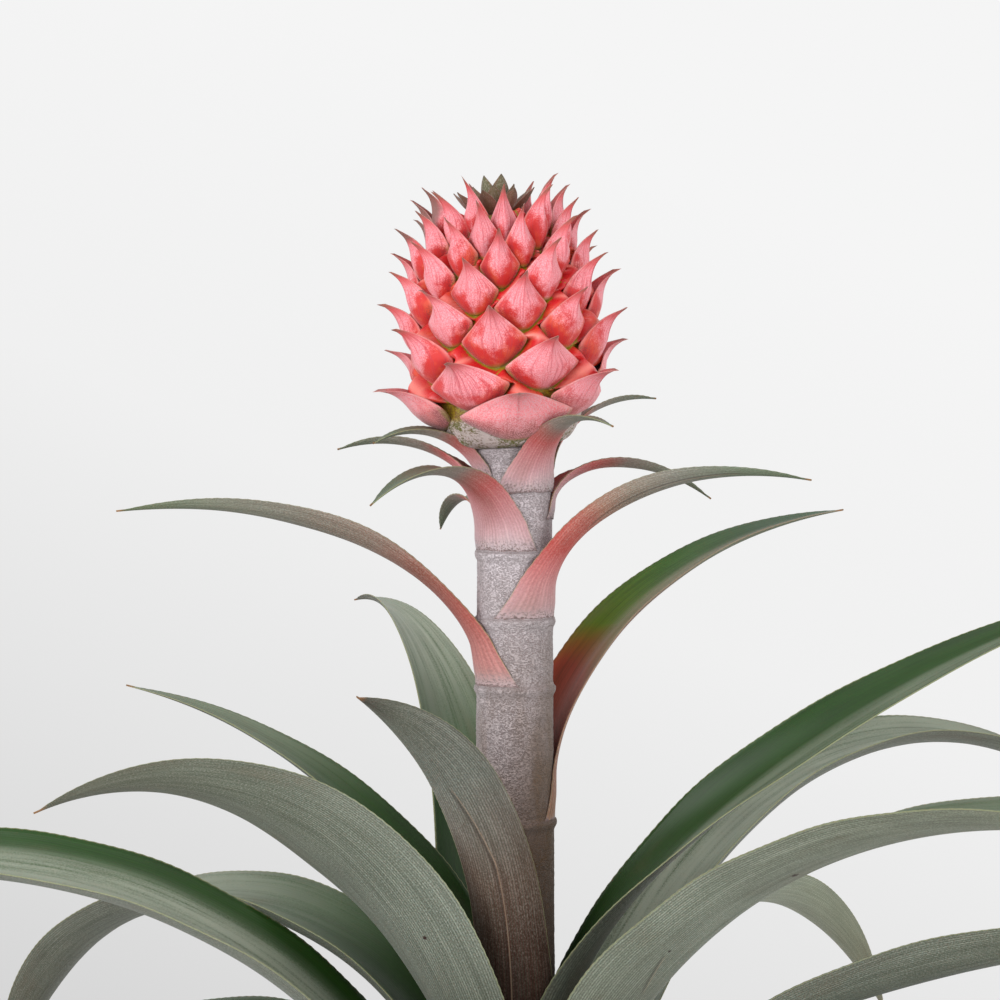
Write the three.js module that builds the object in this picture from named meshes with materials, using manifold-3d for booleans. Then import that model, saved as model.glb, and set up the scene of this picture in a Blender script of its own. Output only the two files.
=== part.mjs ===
// A potted ornamental pineapple in flower. A tall mealy stalk carries a small pink fruit of pointed bracts
// under a tuft of dark leaflets. Narrow clasping leaves stand on the stalk, and a rosette of long channelled
// leaves grows from the short stem below it, in a plain tapered pot of soil.
//
// Units are millimetres, +Z up. The origin is the centre of the pot's foot, on the surface that it stands on.
// Azimuths are in degrees, counter-clockwise from +X seen from above, and the leaves that show their whole
// curve spread along X.

import * as THREE from "three";
import { mergeVertices } from "three/addons/utils/BufferGeometryUtils.js";
import Module from "manifold-3d";

const wasm = await Module();
wasm.setup();

// Gap between pieces that touch, the extra room where the flats of two round pieces face each other, and how
// close two corners are to count as one
const SEAT_GAP = 0.3;
const FACET_ROOM = 0.2;
const WELD = 1e-4;

// Pot
const POT_HEIGHT = 108;
const POT_RIM_RADIUS = 61;
const POT_FOOT_RADIUS = 42;
const POT_WALL = 2.4;
const POT_FLOOR = 3.2;
const RIM_BAND_HEIGHT = 16;
const RIM_BAND_STEP = 2.2;
const EDGE = 1;
const POT_SIDES = 32;
const DRAIN_HOLES = 6;
const DRAIN_RADIUS = 2.6;
const DRAIN_CIRCLE_RADIUS = 24;
const DRAIN_SIDES = 12;

// Soil
const SOIL_LEVEL = 96;
const SOIL_MOUND = 4;
const SOIL_LUMP = 0.8;
const SOIL_WAVES = [3.1, 5.3, 3.7, 6.1];
const SOIL_RINGS = 4;
const SOIL_EVEN_EDGE = 1;

// Stem and stalk
const STEM_FOOT_HEIGHT = 62;
const STEM_FOOT_RADIUS = 15;
const STEM_COLLAR_HEIGHT = 101;
const STEM_COLLAR_RADIUS = 22.6;
const STALK_START_HEIGHT = 182;
const STALK_RADIUS = 8.7;
const STALK_NECK_RADIUS = 7.9;
const STALK_TOP_HEIGHT = 308;
const STALK_SIDES = 18;
const NODE_RING = 0.5;
const NODE_RING_RISE = 3;
const NODE_RING_LIP = 0.6;
const NODE_RING_STEP = 0.1;
const NODE_RING_HEIGHTS = [225, 255, 270, 285];
const LEAN_START_HEIGHT = 294;
const LEAN_ARC = STALK_TOP_HEIGHT - LEAN_START_HEIGHT;
const LEAN_DEGREES = 4.2;

// Fruit
const FRUIT_GIRTH_HEIGHT = 21;
const FRUIT_GIRTH_RADIUS = 18.2;
const FRUIT_CORE_LENGTH = 51;
const FRUIT_TAPER = 36;
const FRUIT_SHOULDER = 2.2;
const FRUIT_ROUNDING = 0.75;
const FRUIT_FOOT_RADIUS = 10;
const FRUIT_SIDES = 20;
const FRUIT_RINGS = 9;
const SLOPE_STEP = 0.1;

// Bracts, in the golden-angle order of the plant. They narrow up the fruit, at first quickly, and have their
// smallest size from a height on. The lines run [up, out] from the foot to the tip, as shares of the bract's
// length, and its widths are shares of its full width
const BRACT_COUNT = 62;
const BRACT_LENGTH = 14.5;
const BRACT_TOP_SHARE = 0.8;
const BRACT_WIDTH_LOW = 22;
const BRACT_WIDTH_HIGH = 6.5;
const BRACT_NARROWING = 0.75;
const BRACT_LOWEST = 1.5;
const BRACT_SMALLEST_FROM = 44;
const BRACT_RISE = 56;
const BRACT_CROWDING = 38;
const BRACT_MOST_FLARE = 22;
const BRACT_CLOSING = 0.55;
const FIRST_BRACT_AZIMUTH = 275;
const BRACT_KEEL = [[0, 0.02], [0.2, 0.2], [0.42, 0.29], [0.65, 0.34], [0.85, 0.45], [1, 0.64]];
const BRACT_MARGIN = [[0.04, -0.08], [0.23, -0.06], [0.42, 0], [0.65, 0.12], [0.85, 0.33], [1, 0.64]];
const BRACT_WIDTHS = [0.45, 0.85, 1, 0.68, 0.28, 0];

// Crown. Pairs are the outermost and the innermost leaflet's values
const CROWN_LEAFLETS = 14;
const CROWN_WIDTHS = [5, 4];
const CROWN_LENGTHS = [6, 7];
const CROWN_TURNS = [80, 92];
const CROWN_OUT = [4.5, 0.8];
const CROWN_UP = [0.4, 1.5];
const CROWN_CORE_RADIUS = 5;
const CROWN_CORE_HEIGHT = 3;
const CROWN_SIDES = 9;

// Leaves. A foot that clasps the stem widely has more columns
const GOLDEN_ANGLE = 137.508;
const LEAF_THICKNESS = 0.7;
const LEAF_TIP_WIDTH = 1.2;
const LEAF_ROWS = 10;
const LEAF_ROW_SPACING = 1.15;
const LEAF_COLUMNS = 4;
const WIDE_LEAF_COLUMNS = 6;
const CURVE_STEPS = 132;
const CHANNEL_HALF_ANGLE = 50;
const LEAF_FLARE = 0.24;
const LEAF_HOLD = 0.08;
const LEAF_TAPER = 2.4;
const LEAF_NARROWING = 0.25;
const LEAF_TWIST = 0.6;
const MOST_CLASP = 94;
const WIDE_CLASP = 60;

// Each leaf: azimuth and height of its foot, length, width of the blade, angle of climb at the foot and at
// the tip, how late it bends, how far its azimuth drifts and its blade twists by the tip, and its width
// around the stem. A last value is a taper of its own: the higher it is, the longer the blade keeps its width
const STALK_LEAVES = [
  ["stalk_leaf_01", 46, 225, 116, 16, 88, 7, 0.5, -25, 10, 29, 3.6],
  ["stalk_leaf_02", 186, 255, 98, 10, 80, -8, 0.5, -2, 42, 29],
  ["stalk_leaf_03", 328, 270, 77, 11, 86, -11, 0.53, 19, -38, 29, 1.6],
  ["stalk_leaf_04", 130, 288, 25, 9, 80, -70, 0.73, -3, 0, 11],
  ["stalk_leaf_05", 235, 285, 51, 14, 88, -35, 0.58, -9, 0, 22, 1.8],
  ["stalk_leaf_06", 18, 292, 45, 8, 82, -38, 0.45, -6, -30, 17, 1.3],
  ["stalk_leaf_07", 168, 295, 38, 8, 67, -18, 0.63, 0, 16, 17],
  ["stalk_leaf_08", 299, 298, 41, 11, 77, -16, 0.62, 2, -3, 18, 1.3],
  ["stalk_leaf_09", 37, 301, 40, 7, 65, -6, 0.66, 3, -16, 14, 2.1],
  ["stalk_leaf_10", 195, 301, 28, 9, 58, -30, 0.94, 0, -5, 13],
];

const ROSETTE_LEAVES = [
  ["leaf_01", 266, 178, 104, 18, 79, 23, 1, -49, 34, 21, 6.9],
  ["leaf_02", 154, 173, 127, 28, 80, 9, 0.65, 2, -10, 29, 1.2],
  ["leaf_03", -11, 168, 185, 22, 79, 12.6, 0.5, 34, 45, 29, 1.75],
  ["leaf_04", 217, 163, 141, 36, 65, -24, 1.55, -15, 42, 28, 2.3],
  ["leaf_05", 103, 160, 159, 31, 65, -12, 2.4, 14, 12, 28, 3],
  ["leaf_06", 242, 156, 160, 25, 62, -60, 0.4, 0, 0, 26],
  ["leaf_07", 153, 152, 193, 32, 65, -60, 0.71, -25, -3, 29, 7],
  ["leaf_08", -37, 148, 218, 38, 63, -15.6, 0.84, -14, 1, 29, 4.2],
  ["leaf_09", 291, 144, 175, 25, 57, -65, 0.4, 0, 0, 29],
  ["leaf_10", 42, 140, 236, 31, 64, -66, 1.4, -22, 5, 29, 3.5],
  ["leaf_11", -1, 135, 174, 27.5, 64, -1, 0.42, 5, -34, 29, 4.3],
  ["leaf_12", 172, 132, 250, 31, 63, -42, 0.85, -5, -17, 29, 5.4],
  ["leaf_13", 56, 128, 206, 29, 60, -55, 1, 2, -25, 29, 2.9],
  ["leaf_14", 268, 125, 195, 25, 54, -60, 0.5, 0, 0, 29],
  ["leaf_15", 140, 122, 215, 25, 69, -60, 0.6, 0, 0, 29],
  ["leaf_16", 2, 120, 225, 25, 66, -50, 0.6, 0, 0, 29],
  ["leaf_17", 225, 117, 215, 25, 63, -50, 0.6, 0, 0, 29],
  ["leaf_18", 80, 115, 215, 25, 62, -50, 0.6, 0, 0, 29],
  ["leaf_19", 309, 112, 205, 25, 58, -50, 0.6, 0, 0, 29],
  ["leaf_20", 172, 110, 205, 25, 56, -50, 0.6, 0, 0, 29],
  ["leaf_21", 34, 107, 200, 24, 52, -45, 0.6, 0, 0, 29],
  ["leaf_22", 247, 105, 185, 24, 46, -45, 0.6, 0, 0, 29],
  ["leaf_23", 119, 103, 175, 22, 46, -45, 0.6, 0, 0, 29],
];

// Plain finishes of the pieces
const POT_FINISH = { color: 0xb4735a, roughness: 0.7 };
const SOIL_FINISH = { color: 0x3b2c22, roughness: 0.95 };
const STALK_FINISH = { color: 0xa89a94, roughness: 0.8 };
const STALK_LEAF_FINISH = { color: 0x9a7468, roughness: 0.6 };
const LEAF_FINISH = { color: 0x74806e, roughness: 0.6 };
const FRUIT_FINISH = { color: 0xe0747c, roughness: 0.55 };
const CROWN_FINISH = { color: 0x5a5a48, roughness: 0.7 };

const radians = THREE.MathUtils.degToRad;
const { lerp, smoothstep } = THREE.MathUtils;

/** How far the plant leans along X at a height: an arc that starts upright and ends at the fruit. */
function leanAt(z) {
  const above = Math.max(0, z - LEAN_START_HEIGHT);
  return (-radians(LEAN_DEGREES) * above * above) / (2 * LEAN_ARC);
}

/** Radius of the stem and the stalk at a height, without the rings at the nodes. */
function stemRadius(z) {
  const stations = [
    [STEM_FOOT_HEIGHT, STEM_FOOT_RADIUS],
    [STEM_COLLAR_HEIGHT, STEM_COLLAR_RADIUS],
    [STALK_START_HEIGHT, STALK_RADIUS],
    [STALK_TOP_HEIGHT, STALK_NECK_RADIUS],
  ];
  const upper = stations.findIndex(([height]) => z <= height);
  const [z0, r0] = stations[Math.max(0, upper - 1)];
  const [z1, r1] = stations[upper];
  return lerp(r0, r1, (z - z0) / (z1 - z0));
}

/** A closed lathe about +Z from [radius, height] points that start and end on the axis. */
function latheUpright(points, sides) {
  const profile = points.map(([r, z]) => new THREE.Vector2(r, z));
  return new THREE.LatheGeometry(profile, sides).rotateX(Math.PI / 2);
}

/** The manifold solid of a closed geometry. */
function solidOf(geometry) {
  const bare = geometry.clone();
  bare.deleteAttribute("normal");
  bare.deleteAttribute("uv");
  const merged = mergeVertices(bare, WELD);
  const mesh = new wasm.Mesh({
    numProp: 3,
    vertProperties: new Float32Array(merged.attributes.position.array),
    triVerts: new Uint32Array(merged.index.array),
  });
  return new wasm.Manifold(mesh);
}

/** The geometry of a manifold solid. */
function geometryOf(solid) {
  const mesh = solid.getMesh();
  const geometry = new THREE.BufferGeometry();
  geometry.setAttribute("position", new THREE.BufferAttribute(mesh.vertProperties, 3));
  geometry.setIndex(new THREE.BufferAttribute(mesh.triVerts, 1));
  geometry.computeVertexNormals();
  return geometry;
}

/** One body joined from overlapping solids: sealed hollows are filled and loose scraps are dropped. */
function fused(solids) {
  const bodies = wasm.Manifold.union(solids).decompose();
  return bodies.reduce((largest, body) => (body.volume() > largest.volume() ? body : largest));
}

/** Radius of the pot's inside wall at a height. */
function potInsideRadius(z) {
  const foot = POT_FOOT_RADIUS - POT_WALL;
  const top = POT_RIM_RADIUS - RIM_BAND_STEP - POT_WALL;
  return lerp(foot, top, z / POT_HEIGHT);
}

/** The pot: a tapered wall with a plain band at the rim, and a floor with a ring of drain holes. */
function potGeometry() {
  const band = POT_HEIGHT - RIM_BAND_HEIGHT;
  const under = potInsideRadius(band) + POT_WALL;
  const wall = latheUpright(
    [
      [0, 0],
      [POT_FOOT_RADIUS - EDGE, 0],
      [POT_FOOT_RADIUS, EDGE],
      [under, band],
      [POT_RIM_RADIUS - EDGE / 2, band + EDGE / 2],
      [POT_RIM_RADIUS, POT_HEIGHT - EDGE],
      [POT_RIM_RADIUS - EDGE, POT_HEIGHT],
      [potInsideRadius(POT_HEIGHT) + EDGE, POT_HEIGHT],
      [potInsideRadius(POT_HEIGHT), POT_HEIGHT - EDGE],
      [potInsideRadius(POT_FLOOR), POT_FLOOR],
      [0, POT_FLOOR],
    ],
    POT_SIDES,
  );
  let solid = solidOf(wall);
  for (let hole = 0; hole < DRAIN_HOLES; hole++) {
    const angle = (hole / DRAIN_HOLES) * 2 * Math.PI;
    const drill = new THREE.CylinderGeometry(DRAIN_RADIUS, DRAIN_RADIUS, 3 * POT_FLOOR, DRAIN_SIDES);
    drill.rotateX(Math.PI / 2);
    drill.translate(DRAIN_CIRCLE_RADIUS * Math.cos(angle), DRAIN_CIRCLE_RADIUS * Math.sin(angle), 0);
    solid = solid.subtract(solidOf(drill));
  }
  return geometryOf(solid);
}

/** The soil: mounded a little at the stem, lumpy on top, with a plain blind hole for the stem. */
function soilGeometry() {
  const flat = Math.cos(Math.PI / POT_SIDES);
  const side = SEAT_GAP / flat + FACET_ROOM;
  const floor = POT_FLOOR + SEAT_GAP;
  const edge = potInsideRadius(SOIL_LEVEL) - side;
  const mouth = (STEM_COLLAR_RADIUS + SEAT_GAP) / flat + FACET_ROOM;
  const hole = (STEM_FOOT_RADIUS + SEAT_GAP) / flat + FACET_ROOM;
  const points = [
    [0, floor],
    [potInsideRadius(floor) - side, floor],
    [edge, SOIL_LEVEL],
  ];
  for (let ring = 1; ring < SOIL_RINGS; ring++) {
    points.push([lerp(edge, mouth, ring / SOIL_RINGS), SOIL_LEVEL + (SOIL_MOUND * ring) / SOIL_RINGS]);
  }
  const bottom = STEM_FOOT_HEIGHT - SEAT_GAP;
  points.push([mouth, SOIL_LEVEL + SOIL_MOUND], [hole, bottom], [0, bottom]);
  const geometry = latheUpright(points, POT_SIDES);
  const [wave1, wave2, wave3, wave4] = SOIL_WAVES;
  const position = geometry.attributes.position;
  for (let i = 0; i < position.count; i++) {
    const [x, y, z] = [position.getX(i), position.getY(i), position.getZ(i)];
    const radius = Math.hypot(x, y);
    if (z > SOIL_LEVEL + SOIL_MOUND / SOIL_RINGS / 2 && radius > mouth + SOIL_EVEN_EDGE) {
      position.setZ(i, z + SOIL_LUMP * Math.sin(x / wave1 + y / wave2) * Math.cos(y / wave3 - x / wave4));
    }
  }
  return geometry;
}

/** The stem, a cone that carries the rosette, and the slim stalk above it, with a ring under each leaf. */
function stalkGeometry() {
  const points = [
    [0, STEM_FOOT_HEIGHT],
    [STEM_FOOT_RADIUS, STEM_FOOT_HEIGHT],
    [STEM_COLLAR_RADIUS, STEM_COLLAR_HEIGHT],
    [STALK_RADIUS, STALK_START_HEIGHT],
  ];
  for (const height of NODE_RING_HEIGHTS) {
    const ringTop = height - SEAT_GAP;
    const radius = stemRadius(ringTop);
    points.push([radius, ringTop - NODE_RING_RISE], [radius + NODE_RING, ringTop - NODE_RING_LIP]);
    points.push([radius + NODE_RING, ringTop], [radius, ringTop + NODE_RING_STEP]);
  }
  points.push([STALK_NECK_RADIUS, STALK_TOP_HEIGHT], [0, STALK_TOP_HEIGHT]);
  const geometry = latheUpright(points, STALK_SIDES);
  const position = geometry.attributes.position;
  for (let i = 0; i < position.count; i++) {
    const [x, z] = [position.getX(i), position.getZ(i)];
    const lean = radians(LEAN_DEGREES) * Math.max(0, (z - LEAN_START_HEIGHT) / LEAN_ARC);
    position.setX(i, x + leanAt(z));
    position.setZ(i, z + x * Math.sin(lean));
  }
  return geometry;
}

/** The midrib's curve: evenly spaced frames of point, direction and blade side. */
function leafCurve(leaf, foot) {
  const frames = [];
  const point = foot.clone();
  const step = leaf.length / CURVE_STEPS;
  for (let i = 0; i <= CURVE_STEPS; i++) {
    const s = i / CURVE_STEPS;
    const bent = Math.max(0, (s - LEAF_HOLD) / (1 - LEAF_HOLD)) ** leaf.bend;
    const upright = (90 - leaf.rise) * (1 - smoothstep(s, 0, LEAF_HOLD));
    const climb = radians(lerp(leaf.rise, leaf.tip, bent) + upright);
    const azimuth = radians(leaf.azimuth + leaf.sweep * s);
    const along = new THREE.Vector3(
      Math.cos(climb) * Math.cos(azimuth),
      Math.cos(climb) * Math.sin(azimuth),
      Math.sin(climb),
    );
    const across = new THREE.Vector3(-Math.sin(azimuth), Math.cos(azimuth), 0);
    across.applyAxisAngle(along, radians(leaf.roll * smoothstep(s, LEAF_HOLD, LEAF_TWIST)));
    frames.push({ s, point: point.clone(), along, across });
    point.addScaledVector(along, step);
  }
  return frames;
}

/** A closed sheet from two like grids of points, the top one on the side of along x across. */
function sheetGeometry(top, bottom) {
  const rows = top.length;
  const columns = top[0].length;
  const points = [...top.flat(), ...bottom.flat()];
  const under = rows * columns;
  const at = (row, column) => row * columns + column;
  const faces = [];
  for (let row = 0; row < rows - 1; row++) {
    for (let column = 0; column < columns - 1; column++) {
      const [a, b] = [at(row, column), at(row, column + 1)];
      const [c, d] = [at(row + 1, column + 1), at(row + 1, column)];
      faces.push(a, b, c, a, c, d);
      faces.push(under + a, under + c, under + b, under + a, under + d, under + c);
    }
  }
  const border = [];
  for (let row = 0; row < rows - 1; row++) border.push(at(row, columns - 1));
  for (let column = columns - 1; column > 0; column--) border.push(at(rows - 1, column));
  for (let row = rows - 1; row > 0; row--) border.push(at(row, 0));
  for (let column = 0; column < columns - 1; column++) border.push(at(0, column));
  border.forEach((p, i) => {
    const q = border[(i + 1) % border.length];
    faces.push(p, under + p, under + q, p, under + q, q);
  });
  const geometry = new THREE.BufferGeometry().setFromPoints(points);
  geometry.setIndex(faces);
  geometry.computeVertexNormals();
  return geometry;
}

/** A leaf: a channelled blade that clasps the stem at its foot and tapers to a fine tip. */
function leafGeometry(leaf) {
  const reach = stemRadius(leaf.height) + SEAT_GAP;
  const clasp = Math.min(leaf.footWidth / 2 / (reach + LEAF_THICKNESS), radians(MOST_CLASP));
  const columns = clasp > radians(WIDE_CLASP) ? WIDE_LEAF_COLUMNS : LEAF_COLUMNS;
  const footRadius = reach / Math.cos(clasp / columns) + LEAF_THICKNESS;
  const azimuth = radians(leaf.azimuth);
  const foot = new THREE.Vector3(
    footRadius * Math.cos(azimuth) + leanAt(leaf.height),
    footRadius * Math.sin(azimuth),
    leaf.height,
  );
  const frames = leafCurve(leaf, foot);
  const top = [];
  const bottom = [];
  for (let row = 0; row <= LEAF_ROWS; row++) {
    const frame = frames[Math.round((row / LEAF_ROWS) ** LEAF_ROW_SPACING * CURVE_STEPS)];
    const { s, point, along, across } = frame;
    const inward = new THREE.Vector3().crossVectors(along, across);
    const spread = smoothstep(s, 0, LEAF_FLARE);
    const blade = leaf.width * (1 - s ** leaf.taper) * (1 - LEAF_NARROWING * s) + LEAF_TIP_WIDTH;
    const halfAngle = lerp(clasp, radians(CHANNEL_HALF_ANGLE), spread);
    const radius = lerp(2 * clasp * footRadius, blade, spread) / (2 * halfAngle);
    const centre = point.clone().addScaledVector(inward, radius);
    const sectionAt = (distance) =>
      Array.from({ length: columns + 1 }, (_, column) => {
        const angle = halfAngle * (1 - (2 * column) / columns);
        return centre
          .clone()
          .addScaledVector(inward, -distance * Math.cos(angle))
          .addScaledVector(across, distance * Math.sin(angle));
      });
    top.push(sectionAt(radius - LEAF_THICKNESS));
    bottom.push(sectionAt(radius));
  }
  return sheetGeometry(top, bottom);
}

/** Radius of the fruit's core at a height above its foot. */
function fruitRadius(h) {
  if (h < FRUIT_GIRTH_HEIGHT) {
    const below = (FRUIT_GIRTH_HEIGHT - h) / FRUIT_GIRTH_HEIGHT;
    return lerp(FRUIT_FOOT_RADIUS, FRUIT_GIRTH_RADIUS, Math.sqrt(Math.max(0, 1 - below ** 2)));
  }
  const above = (h - FRUIT_GIRTH_HEIGHT) / FRUIT_TAPER;
  return FRUIT_GIRTH_RADIUS * (1 - above ** FRUIT_SHOULDER) ** FRUIT_ROUNDING;
}

/** A pointed bract: a three-sided cone bent to a keeled scale, from its keel and margin lines. */
function bractGeometry(width, length) {
  const last = BRACT_KEEL.length - 1;
  const cone = new THREE.ConeGeometry(1, 1, 3, last);
  const third = Math.PI / 3;
  const position = cone.attributes.position;
  for (let i = 0; i < position.count; i++) {
    const station = Math.round((position.getY(i) + 0.5) * last);
    const size = 1 - station / last;
    const side = size > 0 ? Math.round(position.getX(i) / size / Math.sin(third)) : 0;
    const keeled = size > 0 ? (position.getZ(i) / size + Math.cos(third)) / (1 + Math.cos(third)) : 1;
    const [keelUp, keelOut] = BRACT_KEEL[station];
    const [marginUp, marginOut] = BRACT_MARGIN[station];
    position.setXYZ(
      i,
      (side * width * BRACT_WIDTHS[station]) / 2,
      lerp(marginUp, keelUp, keeled) * length,
      lerp(marginOut, keelOut, keeled) * length,
    );
  }
  return cone;
}

/** The matrix that seats a bract on the fruit: width around the fruit, length up, keel outwards. */
function bractSeat(h, azimuth) {
  const slope = (fruitRadius(h + SLOPE_STEP) - fruitRadius(h - SLOPE_STEP)) / (2 * SLOPE_STEP);
  const turn = Math.min(Math.atan(slope) * (slope < 0 ? BRACT_CLOSING : 1), radians(BRACT_MOST_FLARE));
  const out = new THREE.Vector3(Math.cos(azimuth), Math.sin(azimuth), 0);
  const up = new THREE.Vector3(0, 0, 1);
  const length = up.clone().multiplyScalar(Math.cos(turn)).addScaledVector(out, Math.sin(turn));
  const keel = out.clone().multiplyScalar(Math.cos(turn)).addScaledVector(up, -Math.sin(turn));
  const width = new THREE.Vector3().crossVectors(length, keel);
  const seat = new THREE.Matrix4().makeBasis(width, length, keel);
  return seat.setPosition(out.clone().multiplyScalar(fruitRadius(h)).addScaledVector(up, h));
}

/** Tilts a piece of the fruit head and moves it onto the end of the stalk, at a height above it. */
function ontoStalk(geometry, above) {
  geometry.translate(0, 0, above);
  geometry.rotateY(-radians(LEAN_DEGREES));
  return geometry.translate(leanAt(STALK_TOP_HEIGHT), 0, STALK_TOP_HEIGHT);
}

/** The fruit: a core closely covered by bracts, each a golden angle on from the last and a little higher. */
function fruitGeometry() {
  const profile = [[0, 0], [FRUIT_FOOT_RADIUS, 0]];
  for (let ring = 1; ring <= FRUIT_RINGS; ring++) {
    const h = (FRUIT_CORE_LENGTH * ring) / FRUIT_RINGS;
    profile.push([fruitRadius(h), h]);
  }
  profile.push([0, FRUIT_CORE_LENGTH]);
  const solids = [solidOf(latheUpright(profile, FRUIT_SIDES))];
  for (let bract = 0; bract < BRACT_COUNT; bract++) {
    const h = BRACT_LOWEST + BRACT_RISE * (1 - Math.exp(-bract / BRACT_CROWDING));
    const azimuth = radians(FIRST_BRACT_AZIMUTH + bract * GOLDEN_ANGLE);
    const share = Math.min(1, (h - BRACT_LOWEST) / (BRACT_SMALLEST_FROM - BRACT_LOWEST));
    const width = lerp(BRACT_WIDTH_LOW, BRACT_WIDTH_HIGH, share ** BRACT_NARROWING);
    const length = BRACT_LENGTH * lerp(1, BRACT_TOP_SHARE, share);
    solids.push(solidOf(bractGeometry(width, length).applyMatrix4(bractSeat(h, azimuth))));
  }
  return ontoStalk(geometryOf(fused(solids)), SEAT_GAP);
}

/** The crown: a tuft of small pointed leaflets on a low core, on the flat top of the fruit. */
function crownGeometry() {
  const core = new THREE.ConeGeometry(CROWN_CORE_RADIUS, CROWN_CORE_HEIGHT * 2, CROWN_SIDES);
  core.rotateX(Math.PI / 2).translate(0, 0, CROWN_CORE_HEIGHT);
  const solids = [solidOf(core)];
  for (let leaflet = 0; leaflet < CROWN_LEAFLETS; leaflet++) {
    const share = leaflet / (CROWN_LEAFLETS - 1);
    const blade = bractGeometry(lerp(...CROWN_WIDTHS, share), lerp(...CROWN_LENGTHS, share));
    blade.rotateX(radians(lerp(...CROWN_TURNS, share)));
    blade.translate(0, -lerp(...CROWN_OUT, share), lerp(...CROWN_UP, share));
    blade.rotateZ(radians(leaflet * GOLDEN_ANGLE));
    solids.push(solidOf(blade));
  }
  return ontoStalk(geometryOf(fused(solids)), FRUIT_CORE_LENGTH + 2 * SEAT_GAP);
}

/** A leaf's row as named values. */
function leafFrom(row) {
  const [name, azimuth, height, length, width, rise, tip, bend, sweep, roll, footWidth, taper] = row;
  const shape = { length, width, rise, tip, bend, sweep, roll, footWidth, taper: taper ?? LEAF_TAPER };
  return { name, azimuth, height, ...shape };
}

/** Adds a named piece with its own material to the plant. */
function addPiece(group, name, geometry, finish) {
  const piece = new THREE.Mesh(geometry, new THREE.MeshStandardMaterial(finish));
  piece.name = name;
  group.add(piece);
}

const plant = new THREE.Group();
addPiece(plant, "pot", potGeometry(), POT_FINISH);
addPiece(plant, "soil", soilGeometry(), SOIL_FINISH);
addPiece(plant, "stalk", stalkGeometry(), STALK_FINISH);
for (const leaf of STALK_LEAVES.map(leafFrom)) {
  addPiece(plant, leaf.name, leafGeometry(leaf), STALK_LEAF_FINISH);
}
for (const leaf of ROSETTE_LEAVES.map(leafFrom)) {
  addPiece(plant, leaf.name, leafGeometry(leaf), LEAF_FINISH);
}
addPiece(plant, "fruit", fruitGeometry(), FRUIT_FINISH);
addPiece(plant, "crown", crownGeometry(), CROWN_FINISH);

export default plant;
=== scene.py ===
"""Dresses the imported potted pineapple: fine leaves, stalk, fruit, crown, soil and pot around the fixed frame.

Sizes are in millimetres in the model's own frame, with +Z up and the origin at the centre of the pot's foot, and
become metres when a mesh is finished. Azimuths are in degrees, counter-clockwise from +X seen from above. The
photograph was taken from -Y, level with the plant.
"""

import logging
import math
import random
from dataclasses import dataclass, field, replace
from enum import Enum
from typing import Iterable, Iterator

import bmesh
import bpy
import numpy as np
from mathutils import Matrix, Vector, noise
from mathutils.bvhtree import BVHTree


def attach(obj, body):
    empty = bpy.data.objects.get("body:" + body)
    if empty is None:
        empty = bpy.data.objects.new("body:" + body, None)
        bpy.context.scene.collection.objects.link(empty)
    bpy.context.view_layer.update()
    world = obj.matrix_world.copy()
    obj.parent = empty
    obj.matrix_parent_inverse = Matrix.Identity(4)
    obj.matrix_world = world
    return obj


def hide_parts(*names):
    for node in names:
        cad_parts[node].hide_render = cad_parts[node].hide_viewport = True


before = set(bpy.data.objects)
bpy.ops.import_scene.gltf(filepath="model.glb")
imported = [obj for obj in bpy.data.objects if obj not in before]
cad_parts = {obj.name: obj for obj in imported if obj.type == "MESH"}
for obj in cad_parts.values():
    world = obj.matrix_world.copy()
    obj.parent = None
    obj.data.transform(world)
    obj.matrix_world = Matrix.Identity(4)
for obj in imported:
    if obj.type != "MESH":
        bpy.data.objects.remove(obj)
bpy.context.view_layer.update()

log = logging.getLogger("pineapple")

MM = 0.001
GOLDEN_ANGLE = 137.508
SEAT_GAP = 0.3
ROOT = "root"
WELD = 1e-4
AT_MARGIN = 0.999

Colour = tuple[int, int, int]
Stops = tuple[tuple[float, Colour], ...]
Scale = float | tuple[float, float, float]
Place = tuple["Shade | float", "Shade | float", "Shade | float"]
Paint = Colour | bpy.types.NodeSocket
Coat = tuple["Shade", Paint]
SheetPoint = tuple[bmesh.types.BMVert, float, float, float]


def lerp(start: float, end: float, share: float) -> float:
    """The value a share of the way from start to end."""
    return start + (end - start) * share


def lighter(stops: Stops, factor: float) -> Stops:
    """The same run of colours, each one lighter by a factor."""
    return tuple((place, tuple(min(255, round(part * factor)) for part in colour)) for place, colour in stops)


def smoothstep(value: float, low: float, high: float) -> float:
    """Eases from 0 at low to 1 at high."""
    share = min(1.0, max(0.0, (value - low) / (high - low)))
    return share * share * (3 - 2 * share)


def along_stations(stations: tuple[float, ...], share: float) -> float:
    """Reads evenly spaced stations on a smooth curve.

    Args:
        stations: Values at even shares from 0 to 1.
        share: Where to read.

    Returns:
        The value there, on a curve through every station.
    """
    last = len(stations) - 1
    place = min(max(share, 0.0), 1.0) * last
    left = min(int(place), last - 1)
    t = place - left
    before = stations[max(left - 1, 0)]
    start, end = stations[left], stations[left + 1]
    after = stations[min(left + 2, last)]
    slope_in = (end - before) / 2
    slope_out = (after - start) / 2
    curve = (2 * t**3 - 3 * t**2 + 1) * start + (t**3 - 2 * t**2 + t) * slope_in
    return curve + (3 * t**2 - 2 * t**3) * end + (t**3 - t**2) * slope_out


def along_lines(stations: tuple[float, ...], share: float) -> float:
    """Reads evenly spaced stations on straight lines between them."""
    place = min(max(share, 0.0), 1.0) * (len(stations) - 1)
    left = min(int(place), len(stations) - 2)
    return lerp(stations[left], stations[left + 1], place - left)


def heading(angle: float) -> Vector:
    """The level direction at an angle from +X."""
    return Vector((math.cos(angle), math.sin(angle), 0.0))


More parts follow.
